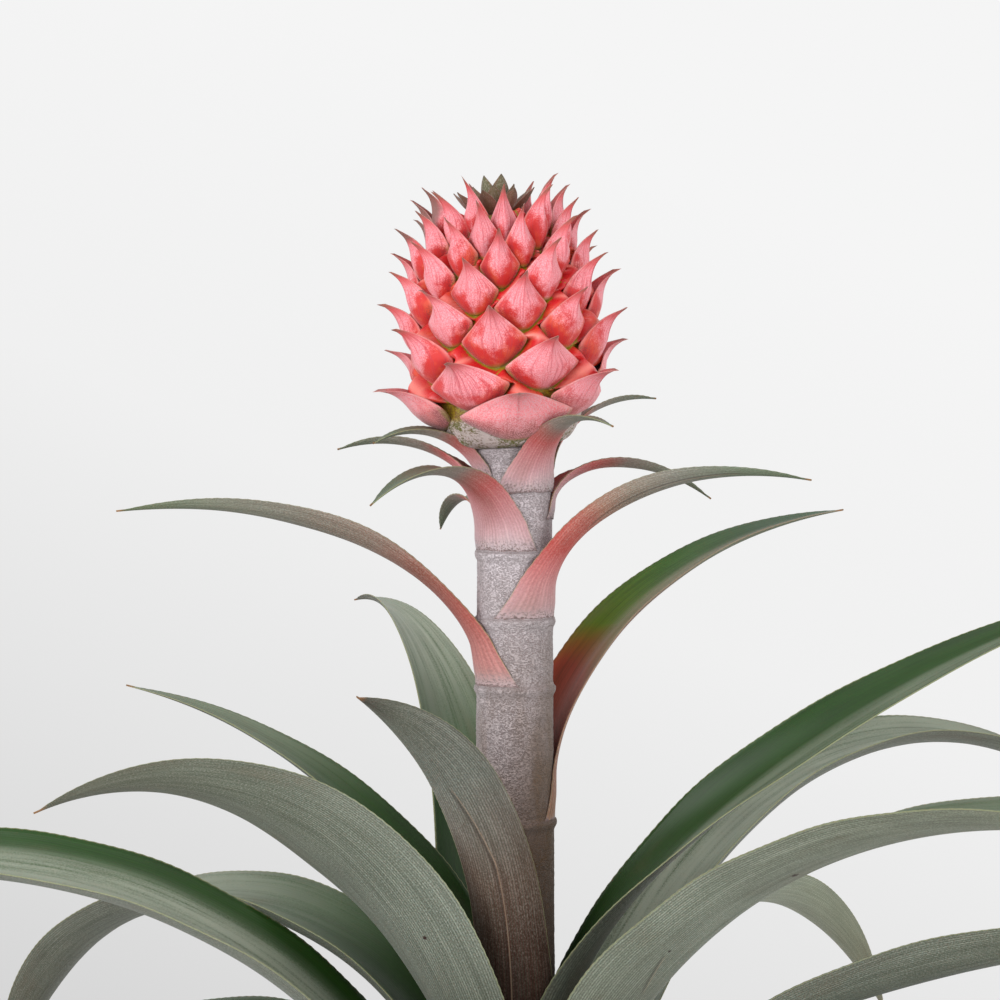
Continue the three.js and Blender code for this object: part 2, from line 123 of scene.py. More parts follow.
def linear(colour: Colour) -> tuple[float, float, float, float]:
    """A screen colour, 0 to 255, as the linear colour that a shader takes."""
    parts = [c / 255 for c in colour]
    light = [c / 12.92 if c <= 0.04045 else ((c + 0.055) / 1.055) ** 2.4 for c in parts]
    return (*light, 1.0)


# Shader tools


class Shade:
    """A number on a shader socket: arithmetic on it adds Math nodes."""

    def __init__(self, board: "Board", socket: bpy.types.NodeSocket) -> None:
        """Wraps a socket of a board's material."""
        self.board = board
        self.socket = socket

    def math(self, operation: str, *others: "Shade | float", clamp: bool = False) -> "Shade":
        """Adds a Math node.

        Args:
            operation: The node's operation.
            others: Its other inputs.
            clamp: Whether the result is kept between 0 and 1.

        Returns:
            The result.
        """
        inputs = dict(enumerate((self, *others)))
        node = self.board.node("ShaderNodeMath", {"operation": operation, "use_clamp": clamp}, inputs)
        return Shade(self.board, node.outputs[0])

    def __add__(self, other: "Shade | float") -> "Shade":
        """Adds."""
        return self.math("ADD", other)

    __radd__ = __add__

    def __mul__(self, other: "Shade | float") -> "Shade":
        """Multiplies."""
        return self.math("MULTIPLY", other)

    __rmul__ = __mul__

    def __sub__(self, other: "Shade | float") -> "Shade":
        """Subtracts another value from this one."""
        return self.math("SUBTRACT", other)

    def __rsub__(self, other: float) -> "Shade":
        """Subtracts this value from a number."""
        return (self * -1.0) + other

    def __pow__(self, power: float) -> "Shade":
        """Raises this value to a power."""
        return self.math("POWER", power)

    def size(self) -> "Shade":
        """The value without its sign."""
        return self.math("ABSOLUTE")

    def wave(self) -> "Shade":
        """The sine of the value, from 0 to 1."""
        return self.math("SINE") * 0.5 + 0.5

    def step(self, low: float, high: float) -> "Shade":
        """Eases from 0 at low to 1 at high, or down where low is above high."""
        settings = {"interpolation_type": "SMOOTHSTEP"}
        first, last, start, end = (low, high, 0.0, 1.0) if low < high else (high, low, 1.0, 0.0)
        inputs = {"Value": self, "From Min": first, "From Max": last, "To Min": start, "To Max": end}
        node = self.board.node("ShaderNodeMapRange", settings, inputs)
        return Shade(self.board, node.outputs[0])


class Board:
    """The node tree of a material or of the world, built by expressions."""

    def __init__(self, name: str, world: bool = False) -> None:
        """Starts an empty material, or an empty world."""
        self.owner = (bpy.data.worlds if world else bpy.data.materials).new(name)
        self.owner.use_nodes = True
        self.tree = self.owner.node_tree
        self.tree.nodes.clear()

    def node(self, kind: str, settings: dict | None = None, inputs: dict | None = None) -> bpy.types.Node:
        """Adds a node.

        Args:
            kind: The node's type.
            settings: Its properties, set first. The stops of a ramp are under "stops".
            inputs: Values, shades or sockets for its inputs, by name or number.

        Returns:
            The node.
        """
        made = self.tree.nodes.new(kind)
        for key, value in (settings or {}).items():
            if key == "stops":
                self._set_stops(made.color_ramp, value)
            else:
                setattr(made, key, value)
        for key, value in (inputs or {}).items():
            source = value.socket if isinstance(value, Shade) else value
            if isinstance(source, bpy.types.NodeSocket):
                self.tree.links.new(source, made.inputs[key])
            else:
                made.inputs[key].default_value = source
        return made

    @staticmethod
    def _set_stops(ramp: bpy.types.ColorRamp, stops: Stops) -> None:
        """Gives a ramp its colours."""
        while len(ramp.elements) < len(stops):
            ramp.elements.new(1.0)
        for element, (place, colour) in zip(ramp.elements, stops):
            element.position = place
            element.color = linear(colour)

    def attributes(self, *names: str) -> list[Shade]:
        """Reads numbers that the mesh holds at its points."""
        nodes = (self.node("ShaderNodeAttribute", {"attribute_name": name}) for name in names)
        return [Shade(self, made.outputs["Fac"]) for made in nodes]

    def place(self) -> tuple[Shade, Shade, Shade]:
        """The point's place on the object, in millimetres."""
        coordinates = self.node("ShaderNodeTexCoord").outputs["Object"]
        parts = self.node("ShaderNodeSeparateXYZ", None, {0: coordinates})
        x, y, z = (Shade(self, parts.outputs[i]) * (1 / MM) for i in range(3))
        return x, y, z

    def vector(self, place: Place, scale: Scale) -> bpy.types.NodeSocket:
        """Joins three numbers into a vector, each one multiplied by the scale or by its own part of it."""
        factors = scale if isinstance(scale, tuple) else (scale,) * 3
        parts = (part * factor for part, factor in zip(place, factors))
        return self.node("ShaderNodeCombineXYZ", None, dict(enumerate(parts))).outputs[0]

    def noise(self, place: Place, scale: Scale, detail: float = 2.0, roughness: float = 0.5) -> Shade:
        """Noise from 0 to 1, about one unit across in the scaled place."""
        inputs = {"Vector": self.vector(place, scale), "Scale": 1.0, "Detail": detail, "Roughness": roughness}
        return Shade(self, self.node("ShaderNodeTexNoise", None, inputs).outputs[0])

    def cells(self, place: Place, scale: Scale) -> Shade:
        """Distance to the nearest of scattered points about one unit apart in the scaled place."""
        inputs = {"Vector": self.vector(place, scale), "Scale": 1.0}
        return Shade(self, self.node("ShaderNodeTexVoronoi", None, inputs).outputs[0])

    def ramp(self, share: Shade | bpy.types.NodeSocket, stops: Stops) -> bpy.types.NodeSocket:
        """A colour read from stops."""
        return self.node("ShaderNodeValToRGB", {"stops": stops}, {0: share}).outputs[0]

    def mix(self, share: Shade | float, first: Paint, second: Paint, blend: str = "MIX") -> bpy.types.NodeSocket:
        """Mixes two colours.

        Args:
            share: How much of the second colour.
            first: A socket or a screen colour.
            second: A socket or a screen colour.
            blend: How they are blended.

        Returns:
            The mixed colour's socket.
        """
        share_input, first_input, second_input, colour_output = 0, 6, 7, 2
        colours = [linear(c) if isinstance(c, tuple) else c for c in (first, second)]
        settings = {"data_type": "RGBA", "blend_type": blend}
        inputs = {share_input: share, first_input: colours[0], second_input: colours[1]}
        return self.node("ShaderNodeMix", settings, inputs).outputs[colour_output]

    def coats(self, ground: Paint, *coats: Coat) -> bpy.types.NodeSocket:
        """Lays coats over a ground colour, each one by its share, and gives the last colour's socket."""
        colour = ground
        for share, paint in coats:
            colour = self.mix(share, colour, paint)
        return colour

    def bump(self, height: Shade, depth_mm: float, strength: float = 1.0) -> bpy.types.NodeSocket:
        """A normal from a height that runs from 0 to 1 over a depth."""
        inputs = {"Height": height, "Distance": depth_mm * MM, "Strength": strength}
        return self.node("ShaderNodeBump", None, inputs).outputs[0]

    def finish(self, colour: bpy.types.NodeSocket, **sockets: object) -> bpy.types.Material:
        """Joins a surface shader to the output.

        Args:
            colour: The base colour.
            sockets: The shader's other inputs, with underscores for the spaces in their names.

        Returns:
            The finished material.
        """
        inputs = {"Base Color": colour, **{key.replace("_", " "): value for key, value in sockets.items()}}
        shader = self.node("ShaderNodeBsdfPrincipled", None, inputs)
        self.node("ShaderNodeOutputMaterial", None, {0: shader.outputs[0]})
        return self.owner


# Finishes


@dataclass(frozen=True)
class LeafFinish:
    """A channelled leaf: scurfy and striped lengthwise outside, smooth and greener inside.

    Both colour runs go from the foot of the leaf at 0 to its tip at 1.
    """

    name: str
    outside: Stops
    inside: Stops
    margin: Colour = (146, 150, 108)
    scurf: Colour = (190, 192, 184)
    # Pale scurf with a painted sheen: the grey reflection that a glancing view of the inside shows.
    bloom: Colour = (148, 154, 138)
    between: Colour = (30, 38, 26)
    stripe: Colour = (52, 60, 42)
    inside_line: Colour = (14, 34, 6)
    cast: Colour = (70, 74, 56)
    patch: Colour = (118, 98, 76)
    tip: Colour = (150, 104, 62)
    mark: Colour = (46, 26, 20)
    # A crease is painted: a highlight on the fold and a shade beside it.
    crease: Colour = (176, 146, 122)
    crease_shade: Colour = (44, 24, 16)
    meal: Colour = (176, 158, 160)
    meal_speck: Colour = (112, 92, 88)
    foot_line: Colour = (84, 64, 60)
    stripe_mm: float = 0.62
    stripe_share: float = 0.55
    scurf_share: float = 0.34
    shade_share: float = 0.42
    mealy_foot_mm: float = 0.0
    marks: tuple[tuple[float, float, float], ...] = ()
    creases: tuple[tuple[float, float, float, float], ...] = ()

    def _marks(self, across_mm: Shade, along_mm: Shade, grain: Shade) -> Iterator[Coat]:
        """Dark spots: each one has a place across, a place along and a radius."""
        for across, along, radius in self.marks:
            aside = across_mm - across
            ahead = along_mm - along
            reach = (aside * aside + ahead * ahead) ** 0.5 + (grain - 0.5) * radius
            yield reach.step(radius, radius * 0.4), self.mark

    def _creases(self, across_mm: Shade, along_mm: Shade) -> Iterator[Coat]:
        """Creases: each one is a painted highlight along a fold with a painted shade on one side, straight from one
        place to another.
        """
        for across_0, along_0, across_1, along_1 in self.creases:
            slant = (across_1 - across_0) / (along_1 - along_0)
            aside = across_mm - along_mm * slant - (across_0 - along_0 * slant)
            here = along_mm.step(along_0 - 2, along_0 + 2) * along_mm.step(along_1 + 2, along_1 - 2)
            # Painted shade beside the fold, then a painted highlight on it.
            yield (aside + 0.5).size().step(0.6, 0.1) * here * 0.45, self.crease_shade
            yield (aside - 0.1).size().step(0.2, 0.04) * here * 0.4, self.crease

    def _mealy_foot(self, along_mm: Shade, grain: Shade) -> Iterator[Coat]:
        """Meal on the foot of a sheath, down to a thin dark line."""
        if self.mealy_foot_mm:
            meal = (along_mm + (grain - 0.5) * 5.0).step(self.mealy_foot_mm, 0.0)
            yield meal * 0.75, self.meal
            yield meal * grain.step(0.52, 0.4) * 0.75, self.meal_speck
            yield (along_mm + (grain - 0.5) * 1.6).step(0.7, 0.2) * 0.55, self.foot_line

    def material(self) -> bpy.types.Material:
        """Builds the material from the leaf's own attributes."""
        board = Board(self.name)
        across_mm, along_mm, across, along = board.attributes("across_mm", "along_mm", "across", "along")
        tone, bloom, side = board.attributes("tone", "bloom", "inner")
        inner = side.step(0.3, 0.7)
        skin = (across_mm, along_mm, tone)

        wander = board.noise(skin, (0.12, 0.02, 40.0)) - 0.5
        veins = (across_mm * (2 * math.pi / self.stripe_mm) + wander * 9.0).wave()
        streaks = board.noise(skin, (2.4, 0.045, 60.0), 3.0, 0.6)
        bands = board.noise(skin, (0.7, 0.02, 70.0))
        grain = board.noise(skin, (3.2, 2.2, 20.0), 3.0, 0.65)
        cloud = board.noise(skin, (0.1, 0.035, 90.0))
        lay = streaks * 0.42 + grain * 0.48 + bands * 0.15

        shifted = along + (cloud - 0.5) * 0.16
        ground = board.ramp(shifted, self.outside)
        dark = board.mix(self.shade_share, ground, self.between, "MULTIPLY")
        scurfy = (grain.step(0.3, 0.8) * self.scurf_share + 0.06) * (along.step(0.0, 0.35) * 0.7 + 0.3)
        pale = board.mix(scurfy, ground, self.scurf)
        lined = veins.step(0.35, 0.95) * (streaks.step(0.3, 0.6) * 0.6 + 0.4) * self.stripe_share
        outside = board.coats(dark, (lay.step(0.4, 0.64), pale), (lined, self.stripe))

        green = board.ramp(shifted, self.inside)
        # Pale scurf with a painted sheen on the inside, as much as the bloom attribute says.
        sheen_bloom = bloom * (bands * 0.7 + grain * 0.5 + streaks * 0.3).step(0.35, 0.85)
        inside = board.coats(green, (streaks.step(0.4, 0.75) * 0.4, self.inside_line), (sheen_bloom, self.bloom))

        blade = board.mix(inner, outside, inside)
        colour = board.coats(
            board.mix((cloud - 0.5).size() * 0.8 + tone * 0.12, blade, self.cast, "MULTIPLY"),
            (cloud.step(0.58, 0.78) * 0.2, self.patch),
            (across.size().step(0.975, 0.997) * 0.5, self.margin),
            *self._creases(across_mm, along_mm),
            *self._mealy_foot(along_mm, grain),
            (along.step(0.975, 0.995) * 0.75, self.tip),
            *self._marks(across_mm, along_mm, grain),
        )
        relief = (veins * 0.3 + streaks * 0.45 + grain * 0.35) * (1 - inner * 0.6)
        return board.finish(
            colour,
            Roughness=(1 - inner) * 0.16 + 0.38 + grain * 0.12,
            Normal=board.bump(relief, 0.12, 0.7),
            Specular_IOR_Level=0.32,
            Sheen_Weight=0.05,
            Sheen_Roughness=0.5,
            Subsurface_Weight=0.05,
            Subsurface_Scale=0.0015,
        )


@dataclass(frozen=True)
class StalkFinish:
    """The stalk's mealy skin, pitted and wrinkled across, browner lower down, and browner on its +X side as painted
    shade.
    """

    name: str = "mealy stalk skin"
    pale: Colour = (203, 193, 197)
    low_pale: Colour = (130, 112, 104)
    pit: Colour = (128, 108, 108)
    low_pit: Colour = (66, 50, 46)
    # Brown for patches on the skin, and for the painted shade on the +X side.
    brown: Colour = (106, 82, 58)
    dusk: Colour = (74, 49, 26)
    node_line: Colour = (92, 72, 66)
    wrinkle_mm: float = 0.52
    wrinkle_flatness: float = 2.3
    pale_mm: tuple[float, float] = (286.0, 206.0)
    side_shade_mm: tuple[float, float] = (290.0, 245.0)
    dusk_mm: tuple[float, float] = (252.0, 206.0)

    def material(self) -> bpy.types.Material:
        """Builds the material from the place on the plant."""
        board = Board(self.name)
        place = board.place()
        x, _, z = place
        (collar,) = board.attributes("collar")
        wide, tall = 1 / self.wrinkle_mm, self.wrinkle_flatness / self.wrinkle_mm
        fine = board.noise(place, (wide, wide, tall), 3.0, 0.7)
        broad = board.noise(place, (0.45, 0.45, 0.9))
        grain = board.noise(place, (5.0, 5.0, 6.0), 2.0, 0.6)
        patch = board.noise(place, (0.16, 0.16, 0.07), 3.0, 0.55)
        low = z.step(*self.pale_mm)
        pitted = (fine * 0.62 + grain * 0.38 + (broad - 0.5) * 0.12).step(0.52, 0.43)
        # Painted shade: the +X side, away from the key lamp, is browner, more so lower down.
        side = x.step(-4.0, 8.0) * (z.step(*self.side_shade_mm) * 0.5 + 0.2)
        colour = board.coats(
            board.mix(low * 0.85, self.pale, self.low_pale),
            (pitted * (low * 0.3 + 0.55), board.mix(low, self.pit, self.low_pit)),
            ((patch.step(0.4, 0.66) * 0.5 + side) * (low * 0.75 + 0.25), self.brown),
            (z.step(*self.dusk_mm) * 0.75, self.dusk),
            ((collar + (fine - 0.5) * 1.4).step(0.4, 0.9) * 0.45, self.node_line),
        )
        return board.finish(
            colour,
            Roughness=0.78,
            Normal=board.bump(1 - pitted * 0.7 + grain * 0.3, 0.26, 0.9),
            Specular_IOR_Level=0.25,
            Sheen_Weight=0.2,
            Sheen_Roughness=0.45,
        )


@dataclass(frozen=True)
class BractFinish:
    """A keeled bract: mealy pink with fine red lines, redder at its foot, brown at its tip."""

    name: str = "mealy pink bract"
    pink: Colour = (226, 118, 128)
    bloom: Colour = (238, 178, 184)
    red: Colour = (200, 36, 32)
    orange: Colour = (214, 84, 46)
    line: Colour = (182, 44, 58)
    near_tip: Colour = (190, 52, 46)
    dry: Colour = (118, 84, 62)
    # Grey-brown on the upper bracts at the back: partly dry, partly painted shade.
    shaded_dry: Colour = (112, 84, 74)
    margin: Colour = (240, 178, 172)
    scurf: Colour = (196, 156, 156)
    speck: Colour = (112, 66, 52)
    hair: Colour = (104, 40, 48)
    olive: Colour = (142, 130, 42)
    inside: Colour = (140, 50, 48)
    left_back_shade_mm: tuple[float, float] = (350.0, 357.0)
    right_back_shade_mm: tuple[float, float] = (356.0, 362.0)

    def material(self) -> bpy.types.Material:
        """Builds the material from the bract's own attributes."""
        board = Board(self.name)
        place = board.place()
        x, y, z = place
        across, along, rank, tone, inner = board.attributes("across", "along", "rank", "tone", "inner")
        flank = across.size()

        meal = board.noise(place, 3.4, 4.0, 0.75)
        cloud = board.noise(place, 0.3)
        fan = board.noise((across, along, tone), (17.0, 1.4, 50.0), 3.0, 0.65)
        bare = along - flank * 0.46 + (meal - 0.5) * 0.5 + (cloud - 0.5) * 0.8 + (tone - 0.5) * 0.3
        blush = bare.step(0.31, 0.0) * (rank.step(0.02, 0.2) * 0.65 + 0.35)
        warm = board.mix(cloud.step(0.46, 0.62) * 0.6, self.red, self.orange)
        lowest = rank.step(0.14, 0.03)
        keel = flank.step(0.08, 0.0) * along.step(0.3, 0.7)
        far = along + rank * 0.06 + (meal - 0.5) * 0.14
        # Painted shade, with some dryness, on the upper bracts at the back.
        left_top = x.step(6.0, -4.0) * z.step(*self.left_back_shade_mm)
        right_top = x.step(2.0, 8.0) * z.step(*self.right_back_shade_mm)
        behind = (y - x * 0.6).step(2.0, 9.0) * left_top + y.step(-2.0, 5.0) * right_top
        grainy = lowest * (along + (cloud - 0.5) * 0.5).step(0.5, 0.1) * meal.step(0.54, 0.44)
        hairy = flank.step(0.62, 0.9) * along.step(0.45, 0.3) * meal.step(0.56, 0.44)
        seamed = flank.step(0.88, 0.97) * along.step(0.46, 0.22) * (cloud - 0.5 + flank).step(0.84, 1.0)
        colour = board.coats(
            self.pink,
            (meal.step(0.4, 0.62) * 0.6, self.bloom),
            (blush, warm),
            (fan.step(0.52, 0.6) * (along * 0.45 + 0.28) * (1 - lowest * 0.6), self.line),
            (keel * 0.5, self.line),
            (far.step(0.66, 0.86) * 0.7, self.near_tip),
            (far.step(0.84, 0.99) * 0.8, self.dry),
            ((behind + (cloud - 0.5)).step(0.2, 0.8) * 0.85, self.shaded_dry),
            (flank.step(0.86, 1.0) * 0.35, self.margin),
            (lowest * meal.step(0.42, 0.6) * 0.55, self.scurf),
            (grainy * 0.8, self.speck),
            (hairy * 0.6, self.hair),
            (seamed.math("MAXIMUM", along.step(0.09, 0.0)) * 0.75, self.olive),
            (inner.step(0.3, 0.7) * 0.35, self.inside),
        )
        return board.finish(
            colour,
            Roughness=0.5 + meal * 0.2,
            Normal=board.bump(meal * 0.5 + fan * 0.5, 0.22, 0.8),
            Specular_IOR_Level=0.45,
            Sheen_Weight=0.2,
            Sheen_Roughness=0.45,
            Subsurface_Weight=0.12,
            Subsurface_Radius=(1.0, 0.35, 0.3),
            Subsurface_Scale=0.0015,
        )


@dataclass(frozen=True)
class BerryFinish:
    """The fruitlets between the bracts: glossy red to orange, with a painted sheen and painted highlights on the
    sepals' edges, and a yellow-green line where they meet.
    """

    name: str = "glossy red fruitlet"
    red: Colour = (198, 32, 36)
    orange: Colour = (212, 88, 50)
    painted_sheen: Colour = (226, 116, 108)
    # Painted highlight along the sepals' edges.
    rim: Colour = (236, 140, 128)
    seam: Colour = (146, 140, 34)
    hair: Colour = (104, 60, 40)
    foot_green: Colour = (92, 90, 30)
    foot_brown: Colour = (104, 76, 54)
    foot_meal: Colour = (190, 176, 172)
    hairy_mm: tuple[float, float] = (324.0, 319.0)

    def material(self) -> bpy.types.Material:
        """Builds the material from the fruit's own attributes."""
        board = Board(self.name)
        place = board.place()
        valley, sepal, low = board.attributes("valley", "sepal", "low")
        cloud = board.noise(place, 0.25)
        grain = board.noise(place, 4.0, 3.0, 0.6)
        scurf = board.noise(place, (1.6, 1.6, 2.6), 4.0, 0.7)
        patchy = board.mix(cloud.step(0.4, 0.6), self.foot_green, self.foot_brown)
        mealy = board.mix((scurf * 0.6 + cloud * 0.4).step(0.42, 0.56), patchy, self.foot_meal)
        hairy = valley * place[2].step(*self.hairy_mm) * scurf.step(0.57, 0.47)
        colour = board.coats(
            self.red,
            (cloud.step(0.5, 0.7) * 0.6, self.orange),
            # Painted sheen: pale flecks over the red.
            (grain.step(0.58, 0.8) * 0.3, self.painted_sheen),
            # Painted highlight along the sepals' edges.
            (sepal * 0.75, self.rim),
            ((valley + (grain - 0.5) * 0.3).step(0.56, 0.88) * 0.9, self.seam),
            (hairy * 0.75, self.hair),
            ((low + (grain - 0.5) * 0.5).step(0.3, 0.8), mealy),
        )
        return board.finish(
            colour,
            Roughness=0.2 + grain * 0.2 + low * 0.4,
            Normal=board.bump(grain, 0.08, 0.5),
            Specular_IOR_Level=0.5,
            Subsurface_Weight=0.12,
            Subsurface_Radius=(1.0, 0.3, 0.2),
            Subsurface_Scale=0.0015,
        )


@dataclass(frozen=True)
class CrownFinish:
    """The crown's leaflets: dark green under grey scurf, brown-red at the feet of the outer ones."""

    name: str = "scurfy crown leaflet"
    ground: Colour = (90, 90, 56)
    scurf: Colour = (166, 158, 142)
    foot: Colour = (128, 70, 62)
    line: Colour = (58, 50, 32)
    tip: Colour = (70, 52, 40)

    def material(self) -> bpy.types.Material:
        """Builds the material from the leaflet's own attributes."""
        board = Board(self.name)
        across, along, rank = board.attributes("across", "along", "rank")
        meal = board.noise(board.place(), 3.4, 4.0, 0.7)
        stripe = board.noise((across, along, rank), (9.0, 1.2, 30.0), 3.0, 0.6)
        colour = board.coats(
            self.ground,
            ((meal * 0.6 + stripe * 0.4).step(0.46, 0.62) * 0.8, self.scurf),
            (stripe.step(0.5, 0.62) * 0.45, self.line),
            (across.size().step(0.55, 1.0) * meal.step(0.3, 0.6) * 0.5, self.foot),
            ((1 - rank) * (1 - along * 0.4) * 0.7, self.foot),
            (along.step(0.82, 1.0) * 0.6, self.tip),
        )
        return board.finish(
            colour,
            Roughness=0.62,
            Normal=board.bump(meal * 0.5 + stripe * 0.5, 0.15, 0.7),
            Specular_IOR_Level=0.35,
            Sheen_Weight=0.25,
            Sheen_Roughness=0.5,
        )


@dataclass(frozen=True)
class SoilFinish:
    """Moist peaty potting soil, with crumbs and fibres in several browns."""

    name: str = "peaty potting soil"
    dark: Colour = (38, 27, 20)
    light: Colour = (92, 68, 48)
    fibre: Colour = (128, 98, 66)
    crumb: Colour = (120, 92, 66)

    def material(self) -> bpy.types.Material:
        """Builds the material from the place in the pot."""
        board = Board(self.name)
        place = board.place()
        (tone,) = board.attributes("tone")
        crumbs = board.cells(place, 0.7)
        grain = board.noise(place, 2.6, 5.0, 0.7)
        fibre = board.noise(place, (0.5, 4.0, 2.0), 3.0, 0.6)
        colour = board.coats(
            self.dark,
            ((grain * 0.7 + crumbs * 0.5).step(0.4, 0.95), self.light),
            (fibre.step(0.62, 0.72) * 0.6, self.fibre),
            (tone * 0.6, self.crumb),
        )
        return board.finish(
            colour,
            Roughness=0.9 - grain * 0.1,
            Normal=board.bump(grain * 0.7 + crumbs * 0.3, 0.8, 0.9),
            Specular_IOR_Level=0.3,
        )


@dataclass(frozen=True)
class PotFinish:
    """Matte terracotta-coloured moulded plastic: a fine stipple, faint flow marks and dust at the foot."""

    name: str = "terracotta plastic"
    body: Colour = (176, 108, 82)
    shade: Colour = (150, 86, 62)
    dust: Colour = (202, 168, 146)
    dusty_mm: float = 14.0

    def material(self) -> bpy.types.Material:
        """Builds the material from the place on the pot."""
        board = Board(self.name)
        place = board.place()
        cloud = board.noise(place, (0.03, 0.03, 0.05), 3.0, 0.55)
        flow = board.noise(place, (0.09, 0.09, 0.012), 3.0, 0.6)
        stipple = board.noise(place, 3.2, 2.0, 0.6)
        scuffs = board.noise(place, (0.4, 0.4, 2.6), 4.0, 0.7)
        colour = board.coats(
            self.shade,
            ((cloud * 0.6 + flow * 0.5).step(0.38, 0.72), self.body),
            (stipple.step(0.6, 0.8) * 0.16, self.dust),
            ((place[2].step(self.dusty_mm, 0.0) * 0.4 + 0.06) * scuffs.step(0.42, 0.7), self.dust),
        )
        return board.finish(
            colour,
            Roughness=0.5 + stipple * 0.14 + scuffs * 0.1,
            Normal=board.bump(stipple * 0.8 + scuffs * 0.2, 0.08, 0.6),
            Specular_IOR_Level=0.45,
        )


@dataclass(frozen=True)
class FloorFinish:
    """A plain pale floor that fades out into the backdrop."""

    name: str = "pale studio floor"
    colour: Colour = (236, 236, 236)
    cloud: Colour = (226, 226, 226)
    cloud_mm: float = 50.0
    fade_start_mm: float = 330.0
    fade_end_mm: float = 800.0

    def material(self) -> bpy.types.Material:
        """Builds the material from the distance to the plant."""
        board = Board(self.name)
        x, y, _ = board.place()
        reach = (x * x + y * y) ** 0.5
        cloud = board.noise((x, y, 0.0), 1 / self.cloud_mm)
        colour = board.mix(cloud * 0.2, self.colour, self.cloud)
        alpha = reach.step(self.fade_end_mm, self.fade_start_mm)
        return board.finish(colour, Roughness=0.9, Alpha=alpha, Specular_IOR_Level=0.2)


GREENS: Stops = (
    (0.0, (40, 38, 10)),
    (0.14, (22, 50, 2)),
    (0.5, (28, 64, 8)),
    (0.8, (40, 68, 26)),
    (1.0, (60, 78, 46)),
)

LEAF = LeafFinish(
    name="rosette leaf",
    outside=(
        (0.0, (88, 76, 56)),
        (0.12, (114, 118, 104)),
        (0.35, (120, 127, 112)),
        (0.7, (104, 110, 92)),
        (1.0, (92, 92, 72)),
    ),
    inside=GREENS,
)

MARKED_LEAF = replace(LEAF, name="marked rosette leaf", marks=((6.0, 41.2, 0.7),))

# A lit copy of the rosette leaf: its outside is lighter as painted light, with dark spots and a painted crease.
LIT_MARKED_LEAF = replace(
    LEAF,
    name="lit_marked rosette leaf",
    outside=lighter(LEAF.outside, 1.24),
    marks=((-3.4, 100.2, 1.15), (-6.8, 63.6, 0.5)),
    creases=((-2.9, 49.0, -6.5, 61.5),),
)

# A lit copy of the rosette leaf: its outside is lighter as painted light.
BRIGHTER_LIT_LEAF = replace(LEAF, name="pale rosette leaf", outside=lighter(LEAF.outside, 1.45))

FRONT_LEAF = LeafFinish(
    name="front leaf",
    outside=(
        (0.0, (62, 28, 12)),
        (0.2, (78, 38, 20)),
        (0.36, (112, 84, 70)),
        (0.5, (134, 122, 112)),
        (0.66, (132, 134, 124)),
        (0.88, (108, 110, 96)),
        (1.0, (70, 60, 46)),
    ),
    inside=((0.0, (96, 50, 32)), (0.5, (60, 76, 32)), (1.0, (56, 84, 38))),
    scurf_share=0.26,
    creases=((0.0, 2.0, 0.0, 44.0), (0.0, 42.0, -3.1, 66.0)),
)

STALK_LEAF = LeafFinish(
    name="stalk leaf",
    outside=(
        (0.0, (186, 150, 146)),
        (0.05, (196, 128, 124)),
        (0.14, (186, 84, 74)),
        (0.26, (160, 84, 66)),
        (0.42, (142, 114, 100)),
        (0.62, (132, 126, 112)),
        (0.85, (108, 116, 92)),
        (1.0, (92, 108, 62)),
    ),
    inside=((0.0, (170, 60, 52)), (0.25, (150, 66, 50)), (0.5, (104, 92, 48)), (1.0, (70, 96, 56))),
    stripe_share=0.2,
    scurf_share=0.3,
    shade_share=0.3,
    mealy_foot_mm=3.6,
)

BIG_STALK_LEAF = LeafFinish(
    name="big stalk leaf",
    outside=(
        (0.0, (176, 130, 104)),
        (0.2, (188, 116, 100)),
        (0.45, (150, 100, 80)),
        (0.65, (120, 120, 88)),
        (1.0, (100, 112, 76)),
    ),
    inside=(
        (0.0, (128, 44, 28)),
        (0.28, (142, 54, 30)),
        (0.35, (124, 80, 18)),
        (0.42, (86, 110, 6)),
        (0.6, (62, 98, 34)),
        (0.8, (78, 98, 76)),
        (1.0, (84, 104, 84)),
    ),
    margin=(158, 142, 118),
    bloom=(172, 152, 142),
    stripe_share=0.5,
    scurf_share=0.22,
    mealy_foot_mm=1.2,
)

SHORT_STALK_LEAF = LeafFinish(
    name="short stalk leaf",
    outside=(
        (0.0, (206, 190, 194)),
        (0.1, (218, 170, 175)),
        (0.22, (222, 140, 144)),
        (0.33, (208, 88, 86)),
        (0.42, (172, 96, 86)),
        (0.5, (142, 122, 112)),
        (0.7, (114, 114, 98)),
        (1.0, (82, 96, 66)),
    ),
    inside=((0.0, (180, 50, 54)), (0.4, (134, 70, 62)), (0.6, (88, 80, 58)), (0.8, (58, 78, 48)), (1.0, (56, 76, 46))),
    stripe_share=0.14,
    scurf_share=0.3,
    shade_share=0.24,
    mealy_foot_mm=3.0,
)

ARCHED_STALK_LEAF = replace(
    SHORT_STALK_LEAF,
    name="arched stalk leaf",
    outside=(
        (0.0, (206, 182, 186)),
        (0.08, (216, 162, 164)),
        (0.15, (218, 124, 124)),
        (0.22, (206, 80, 74)),
        (0.3, (194, 96, 84)),
        (0.38, (174, 122, 102)),
        (0.48, (146, 128, 112)),
        (0.6, (132, 128, 116)),
        (0.78, (104, 118, 92)),
        (1.0, (80, 98, 60)),
    ),
    creases=((0.6, 24, -0.4, 62),),
)


# Plant forms


